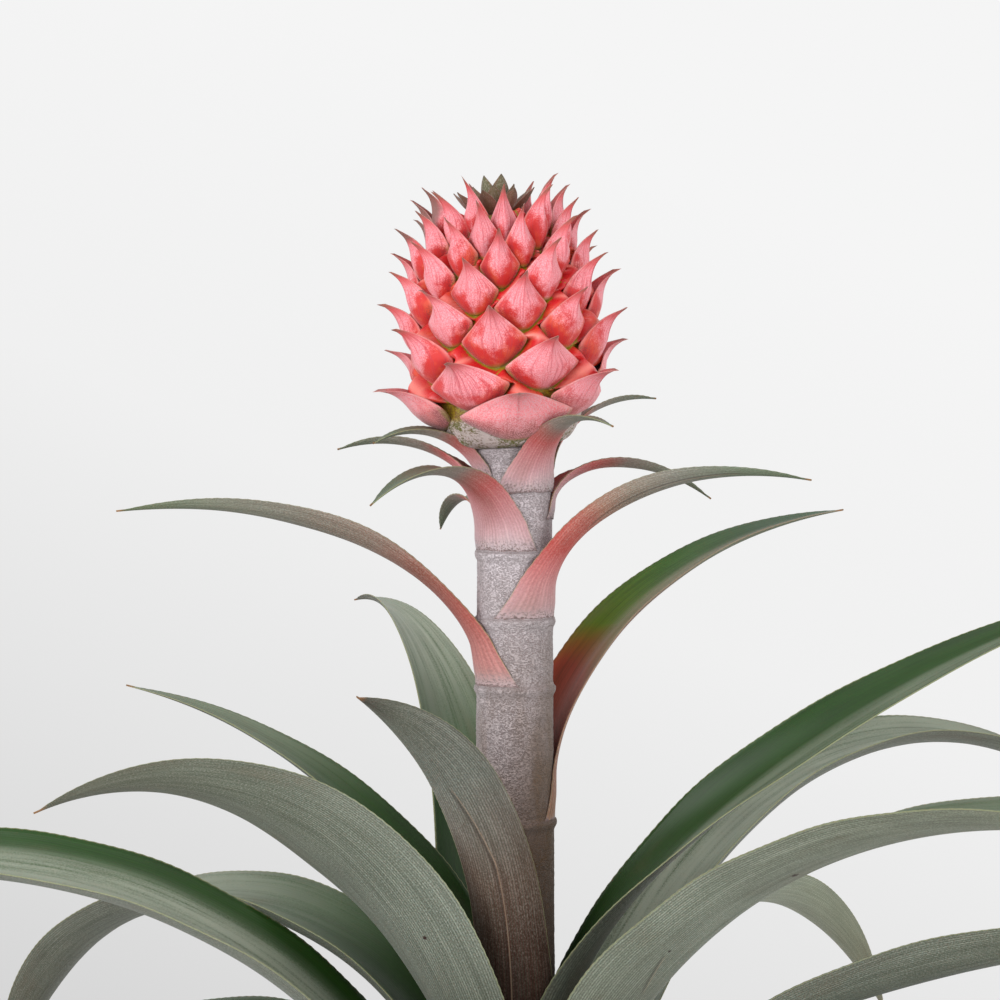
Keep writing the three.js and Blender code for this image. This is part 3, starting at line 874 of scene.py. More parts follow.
@dataclass(frozen=True)
class StemLine:
    """How thick the stem and the stalk are at a height, and how far they lean along X."""

    foot_height: float = 62.0
    foot_radius: float = 15.0
    collar_height: float = 101.0
    collar_radius: float = 22.6
    stalk_height: float = 182.0
    stalk_radius: float = 8.7
    top_height: float = 308.0
    neck_radius: float = 7.9
    lean_height: float = 294.0
    lean_degrees: float = 4.2

    def radius(self, z: float) -> float:
        """Radius at a height, without the rings at the nodes."""
        stations = (
            (self.foot_height, self.foot_radius),
            (self.collar_height, self.collar_radius),
            (self.stalk_height, self.stalk_radius),
            (self.top_height, self.neck_radius),
        )
        for (z0, r0), (z1, r1) in zip(stations, stations[1:]):
            if z <= z1:
                return lerp(r0, r1, (z - z0) / (z1 - z0))
        return self.neck_radius

    def lean(self, z: float) -> float:
        """How far the plant stands along X at a height."""
        above = max(0.0, z - self.lean_height)
        return -math.radians(self.lean_degrees) * above**2 / (2 * (self.top_height - self.lean_height))

    def tilt(self, z: float) -> float:
        """How far the plant leans over at a height, in radians."""
        share = max(0.0, (z - self.lean_height) / (self.top_height - self.lean_height))
        return math.radians(self.lean_degrees) * share

    def seat(self, above: float) -> Matrix:
        """The place and tilt of a piece at a height above the end of the stalk."""
        tilt = Matrix.Rotation(-math.radians(self.lean_degrees), 4, "Y")
        end = Vector((self.lean(self.top_height), 0.0, self.top_height))
        return Matrix.Translation(end) @ tilt @ Matrix.Translation((0.0, 0.0, above))


STEM = StemLine()


@dataclass(frozen=True)
class LeafPlan:
    """A leaf's own sizes, as in the model's source.

    Azimuth and height are its foot's. Rise and tip are its climb at the foot and at the tip, bend is how late it
    bends, sweep and roll are how far it drifts and twists, and foot_width is its width around the stem.
    """

    name: str
    azimuth: float
    height: float
    length: float
    width: float
    rise: float
    tip: float
    bend: float
    sweep: float
    roll: float
    foot_width: float
    taper: float = 2.4

    @property
    def hugs(self) -> bool:
        """Whether its foot is a sheath around the slim stalk."""
        return self.height > STEM.stalk_height


@dataclass(frozen=True)
class SheenBloom:
    """Pale scurf and a painted sheen on a leaf's inner side: how much, from where along it, and from where across the
    blade.
    """

    amount: float = 0.3
    start: float = 0.15
    # The painted sheen lies on one half of the blade, by the sign of side, or on all of it where side is 0.
    side: int = 0
    across: float = -0.1

    def at(self, along: float, across: float) -> float:
        """The scurf and painted sheen at a share of the length and of the half width."""
        lengthwise = smoothstep(along, self.start, self.start + 0.4)
        sideways = smoothstep(self.side * across, self.across, self.across + 0.35) if self.side else 1.0
        return self.amount * lengthwise * sideways


@dataclass(frozen=True)
class Section:
    """One cross-section of a leaf: its place, its directions and its share of the length."""

    share: float
    point: Vector
    along: Vector
    across: Vector


# Mesh tools


def layers(bm: bmesh.types.BMesh, *names: str) -> list[bmesh.types.BMLayerItem]:
    """Gives the layers of numbers with these names, and adds those that the mesh doesn't have."""
    numbers = bm.verts.layers.float
    return [numbers.get(name) or numbers.new(name) for name in names]


def chain(bm: bmesh.types.BMesh, profile: Iterable[tuple[float, float]]) -> list[bmesh.types.BMVert]:
    """Adds a chain of points, each one at a radius and a height."""
    return [bm.verts.new((radius, 0.0, height)) for radius, height in profile]


def spin(bm: bmesh.types.BMesh, points: list[bmesh.types.BMVert], sides: int) -> None:
    """Spins a chain of points around Z into a closed skin."""
    edges = [bm.edges.new(pair) for pair in zip(points, points[1:])]
    bmesh.ops.spin(
        bm, geom=points + edges, axis=(0, 0, 1), cent=(0, 0, 0), steps=sides, angle=2 * math.pi, use_merge=True
    )
    bmesh.ops.remove_doubles(bm, verts=bm.verts, dist=WELD)


def face_outwards(bm: bmesh.types.BMesh) -> None:
    """Turns the faces outwards and shades them smooth."""
    bmesh.ops.recalc_face_normals(bm, faces=bm.faces)
    for face in bm.faces:
        face.smooth = True


def mesh_object(bm: bmesh.types.BMesh, name: str) -> bpy.types.Object:
    """Turns a mesh in millimetres, freed here, into an object at the origin."""
    bmesh.ops.transform(bm, matrix=Matrix.Scale(MM, 4), verts=bm.verts)
    mesh = bpy.data.meshes.new(name)
    bm.to_mesh(mesh)
    bm.free()
    made = bpy.data.objects.new(name, mesh)
    bpy.context.scene.collection.objects.link(made)
    return made


def finish_mesh(bm: bmesh.types.BMesh, name: str, material: bpy.types.Material, body: str = ROOT) -> bpy.types.Object:
    """Turns a mesh in millimetres into a piece that rides on a body.

    Args:
        bm: The mesh, freed here.
        name: The piece's name.
        material: Its finish.
        body: The body that it rides on.

    Returns:
        The piece's object, at the origin.
    """
    piece = mesh_object(bm, name)
    piece.data.materials.append(material)
    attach(piece, body)
    log.info("%s: %d faces", name, len(piece.data.polygons))
    return piece


def two_sided_grid(bm: bmesh.types.BMesh, columns: int, rows: int) -> list[SheetPoint]:
    """Adds a closed sheet of two like grids, ready to be shaped.

    Args:
        bm: The mesh to add to. Its layers across, along and inner are filled in.
        columns: Faces across.
        rows: Faces along.

    Returns:
        The new vertices. With each comes its place across, from -1 to 1, its place along, from 0 to 1, and 0 for the
        outer side or 1 for the inner one.
    """
    across, along, inner = layers(bm, "across", "along", "inner")
    before = set(bm.verts)
    made = bmesh.ops.create_grid(bm, x_segments=columns, y_segments=rows, size=1.0)["verts"]
    for vert in made:
        vert[across] = vert.co.x
        vert[along] = (vert.co.y + 1) / 2
        vert[inner] = 0.0
    faces = list({face for vert in made for face in vert.link_faces})
    border = [edge for edge in {e for f in faces for e in f.edges} if edge.is_boundary]
    doubled = bmesh.ops.extrude_face_region(bm, geom=faces, use_keep_orig=True)["geom"]
    for item in doubled:
        if isinstance(item, bmesh.types.BMVert):
            item[inner] = 1.0
    for edge in border:
        edge.smooth = False
    return [(vert, vert[across], vert[along], vert[inner]) for vert in bm.verts if vert not in before]


class LeafMaker:
    """Shapes channelled leaves that clasp the stem at the foot and taper to a fine tip.

    Thicknesses and the tip's width are in millimetres. Hold, flare and twist end at a share of the length, and the
    foot's share and the places of the first and last tooth are shares of it too.
    """

    HOLD = 0.08
    FLARE = 0.24
    TWIST = 0.6
    CLOSING = 2.2
    CHANNEL_DEGREES = 50.0
    MOST_CLASP_DEGREES = 94.0
    THICKNESS = 0.7
    EDGE_THICKNESS = 0.35
    LEAST_THICKNESS = 0.1
    TIP_THINNING = 0.6
    TIP_WIDTH = 1.2
    NARROWING = 0.25
    ROW_MM = 1.1
    LEAST_ROWS = 44
    COLUMNS = 14
    MARGIN_CROWDING = 1.3
    TOOTH_MM = 0.13
    FIRST_TOOTH = 0.06
    LAST_TOOTH = 0.985
    RIPPLE_MM = 0.35
    RIPPLE_LENGTH_MM = 34.0
    KEEL_MM = 0.4
    KEEL_SHARE = 0.16
    KEEL_BLADE_MM = 25
    FOOT_SHARE = 0.05
    FOOT_THINNING = 0.6
    RAGGED_MM = 0.6

    def __init__(self, seed: int) -> None:
        """Starts a row of leaves whose small differences repeat on every run."""
        self.chance = random.Random(seed)

    def sections(self, plan: LeafPlan, foot: Vector, rows: int) -> list[Section]:
        """Walks up the midrib.

        Args:
            plan: The leaf's sizes.
            foot: Where it starts.
            rows: How many steps it takes.

        Returns:
            One section for each row, from the foot to the tip.
        """
        sections = []
        point = foot.copy()
        for row in range(rows + 1):
            s = row / rows
            bent = max(0.0, (s - self.HOLD) / (1 - self.HOLD)) ** plan.bend
            upright = (90 - plan.rise) * (1 - smoothstep(s, 0, self.HOLD))
            climb = math.radians(lerp(plan.rise, plan.tip, bent) + upright)
            level = heading(math.radians(plan.azimuth + plan.sweep * s))
            along = level * math.cos(climb) + Vector((0.0, 0.0, math.sin(climb)))
            roll = math.radians(plan.roll * smoothstep(s, self.HOLD, self.TWIST))
            across = Matrix.Rotation(roll, 3, along) @ Vector((-level.y, level.x, 0.0))
            sections.append(Section(s, point.copy(), along, across))
            point += along * (plan.length / rows)
        return sections

    def _arc(self, plan: LeafPlan, s: float, blade: float) -> tuple[float, float]:
        """The radius and the half angle of a leaf's cross-section, from its clasping foot to its channelled blade."""
        foot_radius = self._foot_radius(plan)
        clasp = min(plan.foot_width / 2 / foot_radius, math.radians(self.MOST_CLASP_DEGREES))
        channel = math.radians(self.CHANNEL_DEGREES)
        spread = smoothstep(s, 0, self.FLARE)
        if plan.hugs:
            closing = 1 - (1 - min(1.0, s / self.FLARE)) ** self.CLOSING
            radius = lerp(foot_radius, blade / 2 / channel, spread)
            return radius, lerp(2 * clasp * foot_radius, blade, closing) / (2 * radius)
        half_angle = lerp(clasp, channel, spread)
        return lerp(2 * clasp * foot_radius, blade, spread) / (2 * half_angle), half_angle

    def _foot_radius(self, plan: LeafPlan) -> float:
        """How far the outside of a leaf's foot is from the stem's axis."""
        return STEM.radius(plan.height) + SEAT_GAP + self.THICKNESS

    def build(self, plan: LeafPlan, finish: bpy.types.Material, bloom: SheenBloom) -> bpy.types.Object:
        """Shapes one leaf.

        Args:
            plan: The leaf's sizes.
            finish: Its material.
            bloom: The pale scurf and painted sheen on its inner side.

        Returns:
            The leaf's object, in place of its node.
        """
        rows = max(self.LEAST_ROWS, round(plan.length / self.ROW_MM))
        stem = Vector((STEM.lean(plan.height), 0.0, plan.height))
        foot = heading(math.radians(plan.azimuth)) * self._foot_radius(plan) + stem
        sections = self.sections(plan, foot, rows)

        tone = self.chance.random()
        phase = self.chance.random() * 2 * math.pi
        ripples = plan.length / self.RIPPLE_LENGTH_MM
        bm = bmesh.new()
        across_mm, along_mm, tones, sheen_blooms = layers(bm, "across_mm", "along_mm", "tone", "bloom")
        (crowded,) = layers(bm, "across")
        for vert, even, s, inner in two_sided_grid(bm, self.COLUMNS, rows):
            t = math.copysign(1 - (1 - abs(even)) ** self.MARGIN_CROWDING, even)
            row = round(s * rows)
            section = sections[row]
            inward = section.along.cross(section.across)
            blade = plan.width * (1 - s**plan.taper) * (1 - self.NARROWING * s) + self.TIP_WIDTH * (1.08 - s**8)
            radius, half_angle = self._arc(plan, s, blade)
            angle = half_angle * t
            out = -inward * math.cos(angle) + section.across * math.sin(angle)
            side = inward * math.sin(angle) + section.across * math.cos(angle)
            thin = lerp(self.THICKNESS, self.EDGE_THICKNESS, abs(t) ** 3) * lerp(1, self.TIP_THINNING, s)
            sheath = 1 - smoothstep(s, 0, self.FOOT_SHARE) if plan.hugs else 0.0
            ending = sheath * self.THICKNESS * self.FOOT_THINNING
            depth = radius - lerp(ending, max(thin, ending + self.LEAST_THICKNESS), inner)
            place = section.point + inward * radius + out * depth
            fold = self.KEEL_MM * math.exp(-((t / self.KEEL_SHARE) ** 2)) * smoothstep(s, 0.05, 0.3) * (1 - s)
            place += out * fold * blade / self.KEEL_BLADE_MM
            wave = math.sin(ripples * 2 * math.pi * s + phase)
            place += inward * self.RIPPLE_MM * wave * t**2 * smoothstep(s, 0, self.FLARE) * (1 - s)
            place.z += self.RAGGED_MM * noise.noise(Vector((t * 3.5 + phase, 0.0, 0.0))) * sheath
            if abs(even) > AT_MARGIN and row % 2 and self.FIRST_TOOTH < s < self.LAST_TOOTH:
                place += side * math.copysign(self.TOOTH_MM, t) * (1 - 0.6 * s)
            vert.co = place
            vert[crowded] = t
            vert[across_mm] = t * plan.width / 2
            vert[along_mm] = s * plan.length
            vert[tones] = tone
            vert[sheen_blooms] = bloom.at(s, t)
        face_outwards(bm)
        return finish_mesh(bm, f"{plan.name}_blade", finish)


@dataclass
class Foliage:
    """All the leaves, from the little ones under the fruit to the lowest ones over the pot."""

    stalk_leaves: tuple[LeafPlan, ...] = (
        LeafPlan("stalk_leaf_01", 46, 225, 116, 16, 88, 7, 0.5, -25, 10, 29, 3.6),
        LeafPlan("stalk_leaf_02", 186, 255, 98, 10, 80, -8, 0.5, -2, 42, 29),
        LeafPlan("stalk_leaf_03", 328, 270, 77, 11, 86, -11, 0.53, 19, -38, 29, 1.6),
        LeafPlan("stalk_leaf_04", 130, 288, 25, 9, 80, -70, 0.73, -3, 0, 11),
        LeafPlan("stalk_leaf_05", 235, 285, 51, 14, 88, -35, 0.58, -9, 0, 22, 1.8),
        LeafPlan("stalk_leaf_06", 18, 292, 45, 8, 82, -38, 0.45, -6, -30, 17, 1.3),
        LeafPlan("stalk_leaf_07", 168, 295, 38, 8, 67, -18, 0.63, 0, 16, 17),
        LeafPlan("stalk_leaf_08", 299, 298, 41, 11, 77, -16, 0.62, 2, -3, 18, 1.3),
        LeafPlan("stalk_leaf_09", 37, 301, 40, 7, 65, -6, 0.66, 3, -16, 14, 2.1),
        LeafPlan("stalk_leaf_10", 195, 301, 28, 9, 58, -30, 0.94, 0, -5, 13),
    )
    rosette_leaves: tuple[LeafPlan, ...] = (
        LeafPlan("leaf_01", 266, 178, 104, 18, 79, 23, 1, -49, 34, 21, 6.9),
        LeafPlan("leaf_02", 154, 173, 127, 28, 80, 9, 0.65, 2, -10, 29, 1.2),
        LeafPlan("leaf_03", -11, 168, 185, 22, 79, 12.6, 0.5, 34, 45, 29, 1.75),
        LeafPlan("leaf_04", 217, 163, 141, 36, 65, -24, 1.55, -15, 42, 28, 2.3),
        LeafPlan("leaf_05", 103, 160, 159, 31, 65, -12, 2.4, 14, 12, 28, 3),
        LeafPlan("leaf_06", 242, 156, 160, 25, 62, -60, 0.4, 0, 0, 26),
        LeafPlan("leaf_07", 153, 152, 193, 32, 65, -60, 0.71, -25, -3, 29, 7),
        LeafPlan("leaf_08", -37, 148, 218, 38, 63, -15.6, 0.84, -14, 1, 29, 4.2),
        LeafPlan("leaf_09", 291, 144, 175, 25, 57, -65, 0.4, 0, 0, 29),
        LeafPlan("leaf_10", 42, 140, 236, 31, 64, -66, 1.4, -22, 5, 29, 3.5),
        LeafPlan("leaf_11", -1, 135, 174, 27.5, 64, -1, 0.42, 5, -34, 29, 4.3),
        LeafPlan("leaf_12", 172, 132, 250, 31, 63, -42, 0.85, -5, -17, 29, 5.4),
        LeafPlan("leaf_13", 56, 128, 206, 29, 60, -55, 1, 2, -25, 29, 2.9),
        LeafPlan("leaf_14", 268, 125, 195, 25, 54, -60, 0.5, 0, 0, 29),
        LeafPlan("leaf_15", 140, 122, 215, 25, 69, -60, 0.6, 0, 0, 29),
        LeafPlan("leaf_16", 2, 120, 225, 25, 66, -50, 0.6, 0, 0, 29),
        LeafPlan("leaf_17", 225, 117, 215, 25, 63, -50, 0.6, 0, 0, 29),
        LeafPlan("leaf_18", 80, 115, 215, 25, 62, -50, 0.6, 0, 0, 29),
        LeafPlan("leaf_19", 309, 112, 205, 25, 58, -50, 0.6, 0, 0, 29),
        LeafPlan("leaf_20", 172, 110, 205, 25, 56, -50, 0.6, 0, 0, 29),
        LeafPlan("leaf_21", 34, 107, 200, 24, 52, -45, 0.6, 0, 0, 29),
        LeafPlan("leaf_22", 247, 105, 185, 24, 46, -45, 0.6, 0, 0, 29),
        LeafPlan("leaf_23", 119, 103, 175, 22, 46, -45, 0.6, 0, 0, 29),
    )
    # Pale scurf with a painted sheen on the inner sides, leaf by leaf.
    sheen_blooms: dict[str, SheenBloom] = field(
        default_factory=lambda: {
            "leaf_02": SheenBloom(0.5, 0.41),
            "leaf_03": SheenBloom(0.4, -0.1, -1, -0.05),
            "leaf_05": SheenBloom(0.95, 0.42),
            "leaf_07": SheenBloom(0.8, 0.2),
            "leaf_10": SheenBloom(0.8, -0.2),
            "leaf_12": SheenBloom(0.85, -0.1, 1, -0.75),
            "leaf_13": SheenBloom(0.95, -0.1),
            "stalk_leaf_01": SheenBloom(0.5, 0.1, -1, -0.25),
        }
    )
    own_finishes: dict[str, LeafFinish] = field(
        default_factory=lambda: {
            "stalk_leaf_01": BIG_STALK_LEAF,
            "stalk_leaf_03": ARCHED_STALK_LEAF,
            "leaf_01": FRONT_LEAF,
            "leaf_04": MARKED_LEAF,
            "leaf_08": LIT_MARKED_LEAF,
            "leaf_13": BRIGHTER_LIT_LEAF,
        }
    )
    long_from_mm: float = 80.0
    maker: LeafMaker = field(default_factory=lambda: LeafMaker(5))

    def build(self) -> None:
        """Shapes every leaf in place of its node."""
        kinds = (LEAF, STALK_LEAF, SHORT_STALK_LEAF, *self.own_finishes.values())
        materials = {kind.name: kind.material() for kind in kinds}
        for plan in self.stalk_leaves + self.rosette_leaves:
            material = materials[self._finish(plan).name]
            leaf = self.maker.build(plan, material, self.sheen_blooms.get(plan.name, SheenBloom()))
            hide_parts(plan.name)
            "stalk_leaf" if plan.hugs else "leaf"

    def _finish(self, plan: LeafPlan) -> LeafFinish:
        """The leaf's own finish, or else its kind's."""
        if plan.name in self.own_finishes:
            return self.own_finishes[plan.name]
        if not plan.hugs:
            return LEAF
        return STALK_LEAF if plan.length > self.long_from_mm else SHORT_STALK_LEAF


@dataclass
class Stalk:
    """The stem under the leaves and the mealy stalk above them, with a swollen ring at each node."""

    node_heights: tuple[float, ...] = (225.0, 255.0, 270.0, 285.0)
    ring: float = 0.7
    ring_rise: float = 2.6
    line_depth: float = 0.12
    line_width: float = 0.7
    flare_height: float = 303.0
    flare: float = 1.6
    sides: int = 110
    step: float = 0.55
    wrinkle: float = 0.13
    swell: float = 0.16
    fullness: float = 0.3
    skin_from: tuple[float, float] = (175, 190)
    skin_to: tuple[float, float] = (300, 306)

    def _radius(self, z: float) -> tuple[float, float]:
        """Radius at a height with the rings, and how much of the dark line at a node is there."""
        radius = STEM.radius(z) + self.flare * smoothstep(z, self.flare_height, STEM.top_height) ** 1.5
        line = 0.0
        for height in self.node_heights:
            top = height - SEAT_GAP
            if top - self.ring_rise < z <= top + 1.2:
                swell = smoothstep(z, top - self.ring_rise, top - 0.4) * (1 - smoothstep(z, top, top + 0.6))
                radius += self.ring * swell
                line = max(line, 1 - min(1.0, abs(z - top - 0.1) / self.line_width))
        return radius - line * self.line_depth, line

    def _relief(self, x: float, y: float, z: float) -> float:
        """How far the skin stands out at a point, with its wrinkles."""
        rough = noise.noise(Vector((x * 1.2, y * 1.2, z * 2.1)))
        broad = noise.noise(Vector((x * 0.25, y * 0.25, z * 0.12)))
        stalk = smoothstep(z, *self.skin_from)
        full = self.fullness * stalk * (1 - smoothstep(z, *self.skin_to))
        return self.wrinkle * rough + self.swell * broad * stalk + full

    def build(self) -> None:
        """Spins the profile, wrinkles the skin and leans the top."""
        bm = bmesh.new()
        (collar,) = layers(bm, "collar")
        heights = [*np.arange(STEM.foot_height, STEM.top_height, self.step), STEM.top_height]
        rings = [self._radius(z) for z in heights]
        sides = [(radius, z) for (radius, _), z in zip(rings, heights)]
        points = chain(bm, [(0.0, STEM.foot_height), *sides, (0.0, STEM.top_height)])
        for vert, (_, line) in zip(points[1:], rings):
            vert[collar] = line
        spin(bm, points, self.sides)
        for vert in bm.verts:
            x, y, z = vert.co
            if math.hypot(x, y) > 1:
                vert.co += Vector((x, y, 0.0)).normalized() * self._relief(x, y, z)
            vert.co += Vector((STEM.lean(z), 0.0, vert.co.x * math.sin(STEM.tilt(z))))
        face_outwards(bm)
        stalk = finish_mesh(bm, "stalk_skin", StalkFinish().material())
        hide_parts("stalk")


@dataclass(frozen=True)
class BractSeat:
    """Where a bract grows on the fruit, and how big it is. Its azimuth is in radians, and its share is its rank."""

    height: float
    azimuth: float
    share: float
    width: float
    length: float


@dataclass(frozen=True)
class ScaleForm:
    """A pointed, keeled scale, at six stations from its foot to its tip, as shares of its length and width.

    Corner is how far its outline keeps to straight lines. Pillow and thickness have a value for the foot and one for
    the tip: how flat the face is beside the keel, and how thick the scale is.
    """

    keel_up: tuple[float, ...] = (0.0, 0.2, 0.42, 0.65, 0.85, 1.0)
    keel_out: tuple[float, ...] = (0.02, 0.2, 0.29, 0.34, 0.45, 0.64)
    margin_up: tuple[float, ...] = (0.04, 0.23, 0.42, 0.65, 0.85, 1.0)
    margin_out: tuple[float, ...] = (-0.08, -0.06, 0.0, 0.12, 0.33, 0.64)
    widths: tuple[float, ...] = (0.36, 0.78, 1.0, 0.6, 0.22, 0.02)
    corner: float = 0.6
    pillow: tuple[float, float] = (2.6, 1.15)
    thickness: tuple[float, float] = (0.13, 0.02)
    margin_thinning: float = 0.9
    least_thickness: float = 0.012

    def point(self, width: float, length: float, across: float, along: float, inner: float) -> Vector:
        """A point on the scale.

        Args:
            width: Full width.
            length: Full length.
            across: From -1 at one margin to 1 at the other.
            along: From 0 at the foot to 1 at the tip.
            inner: 0 on the outer face, 1 on the inner one.

        Returns:
            The point as (across, up, out).
        """
        side = abs(across) ** lerp(*self.pillow, smoothstep(along, 0.15, 0.75))
        up = lerp(along_stations(self.keel_up, along), along_stations(self.margin_up, along), side)
        out = lerp(along_stations(self.keel_out, along), along_stations(self.margin_out, along), side)
        thick = lerp(*self.thickness, along) * (1 - self.margin_thinning * across**2) + self.least_thickness
        wide = lerp(along_stations(self.widths, along), along_lines(self.widths, along), self.corner)
        return Vector((across * wide / 2 * width, up * length, (out - thick * inner) * length))


SCALE = ScaleForm()
LEAFLET = ScaleForm(
    keel_out=(0.02, 0.08, 0.11, 0.1, 0.07, 0.04),
    margin_out=(-0.06, -0.04, -0.02, 0.0, 0.03, 0.04),
    widths=(0.6, 0.94, 1.0, 0.76, 0.38, 0.02),
    corner=0.2,
)


@dataclass
class FruitHead:
    """The fruit: a body of close-set fruitlets, each one behind a pointed pink bract.

    The girth is its widest place. A berry is a fruitlet, and its width, height and centre are shares of its bract's.
    Sway, nod and twist are the most that a bract's tip turns aside, outwards and round.
    """

    girth_height: float = 21.0
    girth_radius: float = 18.2
    core_length: float = 51.0
    taper: float = 36.0
    foot_radius: float = 10.0
    foot_round: float = 0.9
    foot_round_height: float = 1.6
    bract_count: int = 62
    bract_length: float = 14.5
    top_share: float = 0.8
    width_low: float = 25.0
    width_high: float = 6.5
    narrowing: float = 0.64
    smallest_from: float = 44.0
    lowest: float = 1.5
    rise: float = 56.0
    crowding: float = 38.0
    most_flare: float = 22.0
    closing: float = 0.55
    first_azimuth: float = 275.0
    body_sides: int = 240
    body_rings: int = 170
    body_gap: float = 0.06
    mealy_foot: tuple[float, float] = (4.5, 9.0)
    berry_rise: float = 5.0
    berry_wide: float = 0.46
    berry_tall: float = 0.5
    berry_centre: float = 0.66
    berry_round: float = 2.0
    hold_below: float = 0.6
    hold_above: float = 1.5
    bract_clearance: float = 0.12
    deepest_dent: float = 0.3
    valley_share: float = 0.38
    seam_share: float = 0.07
    sepal_highlight_share: float = 0.07
    bract_columns: int = 14
    bract_rows: int = 22
    width_spread: tuple[float, float] = (0.95, 1.04)
    length_spread: tuple[float, float] = (0.96, 1.05)
    sway: float = 1.2
    nod: float = 0.6
    twist: float = 0.24
    keel_rise: float = 0.6
    ridge_rise: float = 0.08

    def radius(self, h: float) -> float:
        """Radius of the core at a height above its foot."""
        if h < self.girth_height:
            below = (self.girth_height - h) / self.girth_height
            foot = self.foot_radius - self.foot_round * max(0.0, 1 - h / self.foot_round_height) ** 2
            return lerp(foot, self.girth_radius, math.sqrt(max(0.0, 1 - below**2)))
        above = min(1.0, (h - self.girth_height) / self.taper)
        return self.girth_radius * (1 - above**2.2) ** 0.75

    def seats(self) -> Iterator[BractSeat]:
        """The bracts, each a golden angle on from the last and a little higher."""
        for n in range(self.bract_count):
            h = self.lowest + self.rise * (1 - math.exp(-n / self.crowding))
            share = min(1.0, (h - self.lowest) / (self.smallest_from - self.lowest))
            width = lerp(self.width_low, self.width_high, share**self.narrowing)
            length = self.bract_length * lerp(1, self.top_share, share)
            yield BractSeat(h, math.radians(self.first_azimuth + n * GOLDEN_ANGLE), share, width, length)

    def seat_matrix(self, seat: BractSeat) -> Matrix:
        """Lays a scale on the fruit: width around it, length up, keel outwards."""
        slope = (self.radius(seat.height + 0.1) - self.radius(seat.height - 0.1)) / 0.2
        turn = math.atan(slope) * (self.closing if slope < 0 else 1)
        turn = min(turn, math.radians(self.most_flare))
        out = heading(seat.azimuth)
        up = Vector((0.0, 0.0, 1.0))
        length = up * math.cos(turn) + out * math.sin(turn)
        keel = out * math.cos(turn) - up * math.sin(turn)
        width = length.cross(keel)
        place = out * self.radius(seat.height) + up * seat.height
        turned = Matrix((width, length, keel)).transposed().to_4x4()
        return Matrix.Translation(place) @ turned

    def _nearness(self, seat: BractSeat, across: np.ndarray, above: np.ndarray) -> np.ndarray:
        """How close points are to a bract's hold on the core: 1 under it, 0 from berry_round beside it."""
        held = [up * seat.length for up in SCALE.margin_up[:3]]
        ups = [-self.hold_below, *held, held[-1] + self.hold_above]
        halves = [0.0, *(share * seat.width / 2 for share in SCALE.widths[:3]), 0.0]
        side = np.abs(across)
        apart = np.full(len(side), np.inf)
        for up, half, next_up, next_half in zip(ups, halves, ups[1:], halves[1:]):
            rise, widening = next_up - up, next_half - half
            share = ((above - up) * rise + (side - half) * widening) / (rise**2 + widening**2)
            share = np.clip(share, 0, 1)
            apart = np.minimum(apart, np.hypot(above - up - share * rise, side - half - share * widening))
        inside = side < np.interp(above, ups, halves, left=0.0, right=0.0)
        return np.where(inside, 1.0, np.clip(1 - apart / self.berry_round, 0, 1))

    def _fruitlets(self, points: np.ndarray) -> dict[str, np.ndarray]:
        """Works out how the fruitlets swell the core between the bracts.

        Args:
            points: Points on the core.

        Returns:
            For each point, how far it rises, how deep in a valley it lies and how near a sepal's rim, where a
            highlight is painted.
        """
        around = np.arctan2(points[:, 1], points[:, 0])
        reach = np.hypot(points[:, 0], points[:, 1])
        tallest = np.zeros(len(points))
        second = np.zeros(len(points))
        arcs = np.ones(len(points))
        nearest = np.zeros(len(points))
        for n, seat in enumerate(self.seats()):
            turn = (around - seat.azimuth + np.pi) % (2 * np.pi) - np.pi
            across = turn * reach
            above = points[:, 2] - seat.height
            wide = seat.width * self.berry_wide
            tall = seat.length * self.berry_tall
            centre = seat.length * self.berry_centre
            span = (across / wide) ** 2 + ((above - centre) / tall) ** 2
            dome = np.sqrt(np.clip(1 - span, 0, 1)) * (0.45 + 0.55 * seat.width / self.width_low)
            aside = across / wide * (1 if n % 2 else -1)
            arc = (above - centre) / tall * 0.7 + 0.35 * aside**2 - 0.45 * aside - 0.2
            higher = dome > tallest
            second = np.where(higher, tallest, np.maximum(second, dome))
            tallest = np.where(higher, dome, tallest)
            arcs = np.where(higher, arc, arcs)
            nearest = np.maximum(nearest, self._nearness(seat, across, above))
        rounded = tallest * np.sqrt(1 - nearest**2)
        lapped = rounded * (1 - 0.1 * np.clip(arcs / 0.1 + 0.5, 0, 1))
        seam = np.exp(-(((tallest - second) / self.seam_share) ** 2)) * (second > 0.1)
        rise = self.berry_rise * lapped * (1 - 0.14 * seam) - 0.3 * (nearest >= 1)
        buried = np.clip(points[:, 2] / 4.0, 0, 1)
        rim = np.exp(-((arcs / self.sepal_highlight_share) ** 2)) * np.clip(rounded * 4 - 0.4, 0, 1)
        valley = np.maximum(1 - np.clip(rounded / self.valley_share, 0, 1), seam * 0.95)
        return {"rise": rise * buried, "valley": valley, "sepal": rim * (1 - seam)}

    def _under_bracts(self, bm: bmesh.types.BMesh, seat: Matrix, bracts: BVHTree) -> None:
        """Draws in the points of the body that would stick out through a bract.

        Args:
            bm: The body's mesh, in its place.
            seat: The body's place.
            bracts: The bracts' faces.
        """
        back = seat.inverted()
        for vert in bm.verts:
            local = back @ vert.co
            axis = seat @ Vector((0.0, 0.0, local.z))
            reach = (vert.co - axis).length
            if reach < 2 or not 0.5 < local.z < self.core_length - 0.5:
                continue
            core = self.radius(local.z)
            out = (vert.co - axis) / reach
            start = axis + out * (core - 0.5)
            for _ in range(4):
                hit, normal, _, _ = bracts.ray_cast(start, out, reach)
                if hit is None or normal.dot(out) > 0:
                    break
                start = hit + out * 0.001
            if hit is not None:
                limit = max((hit - axis).length - self.bract_clearance, core - self.deepest_dent)
                vert.co = axis + out * min(reach, limit)

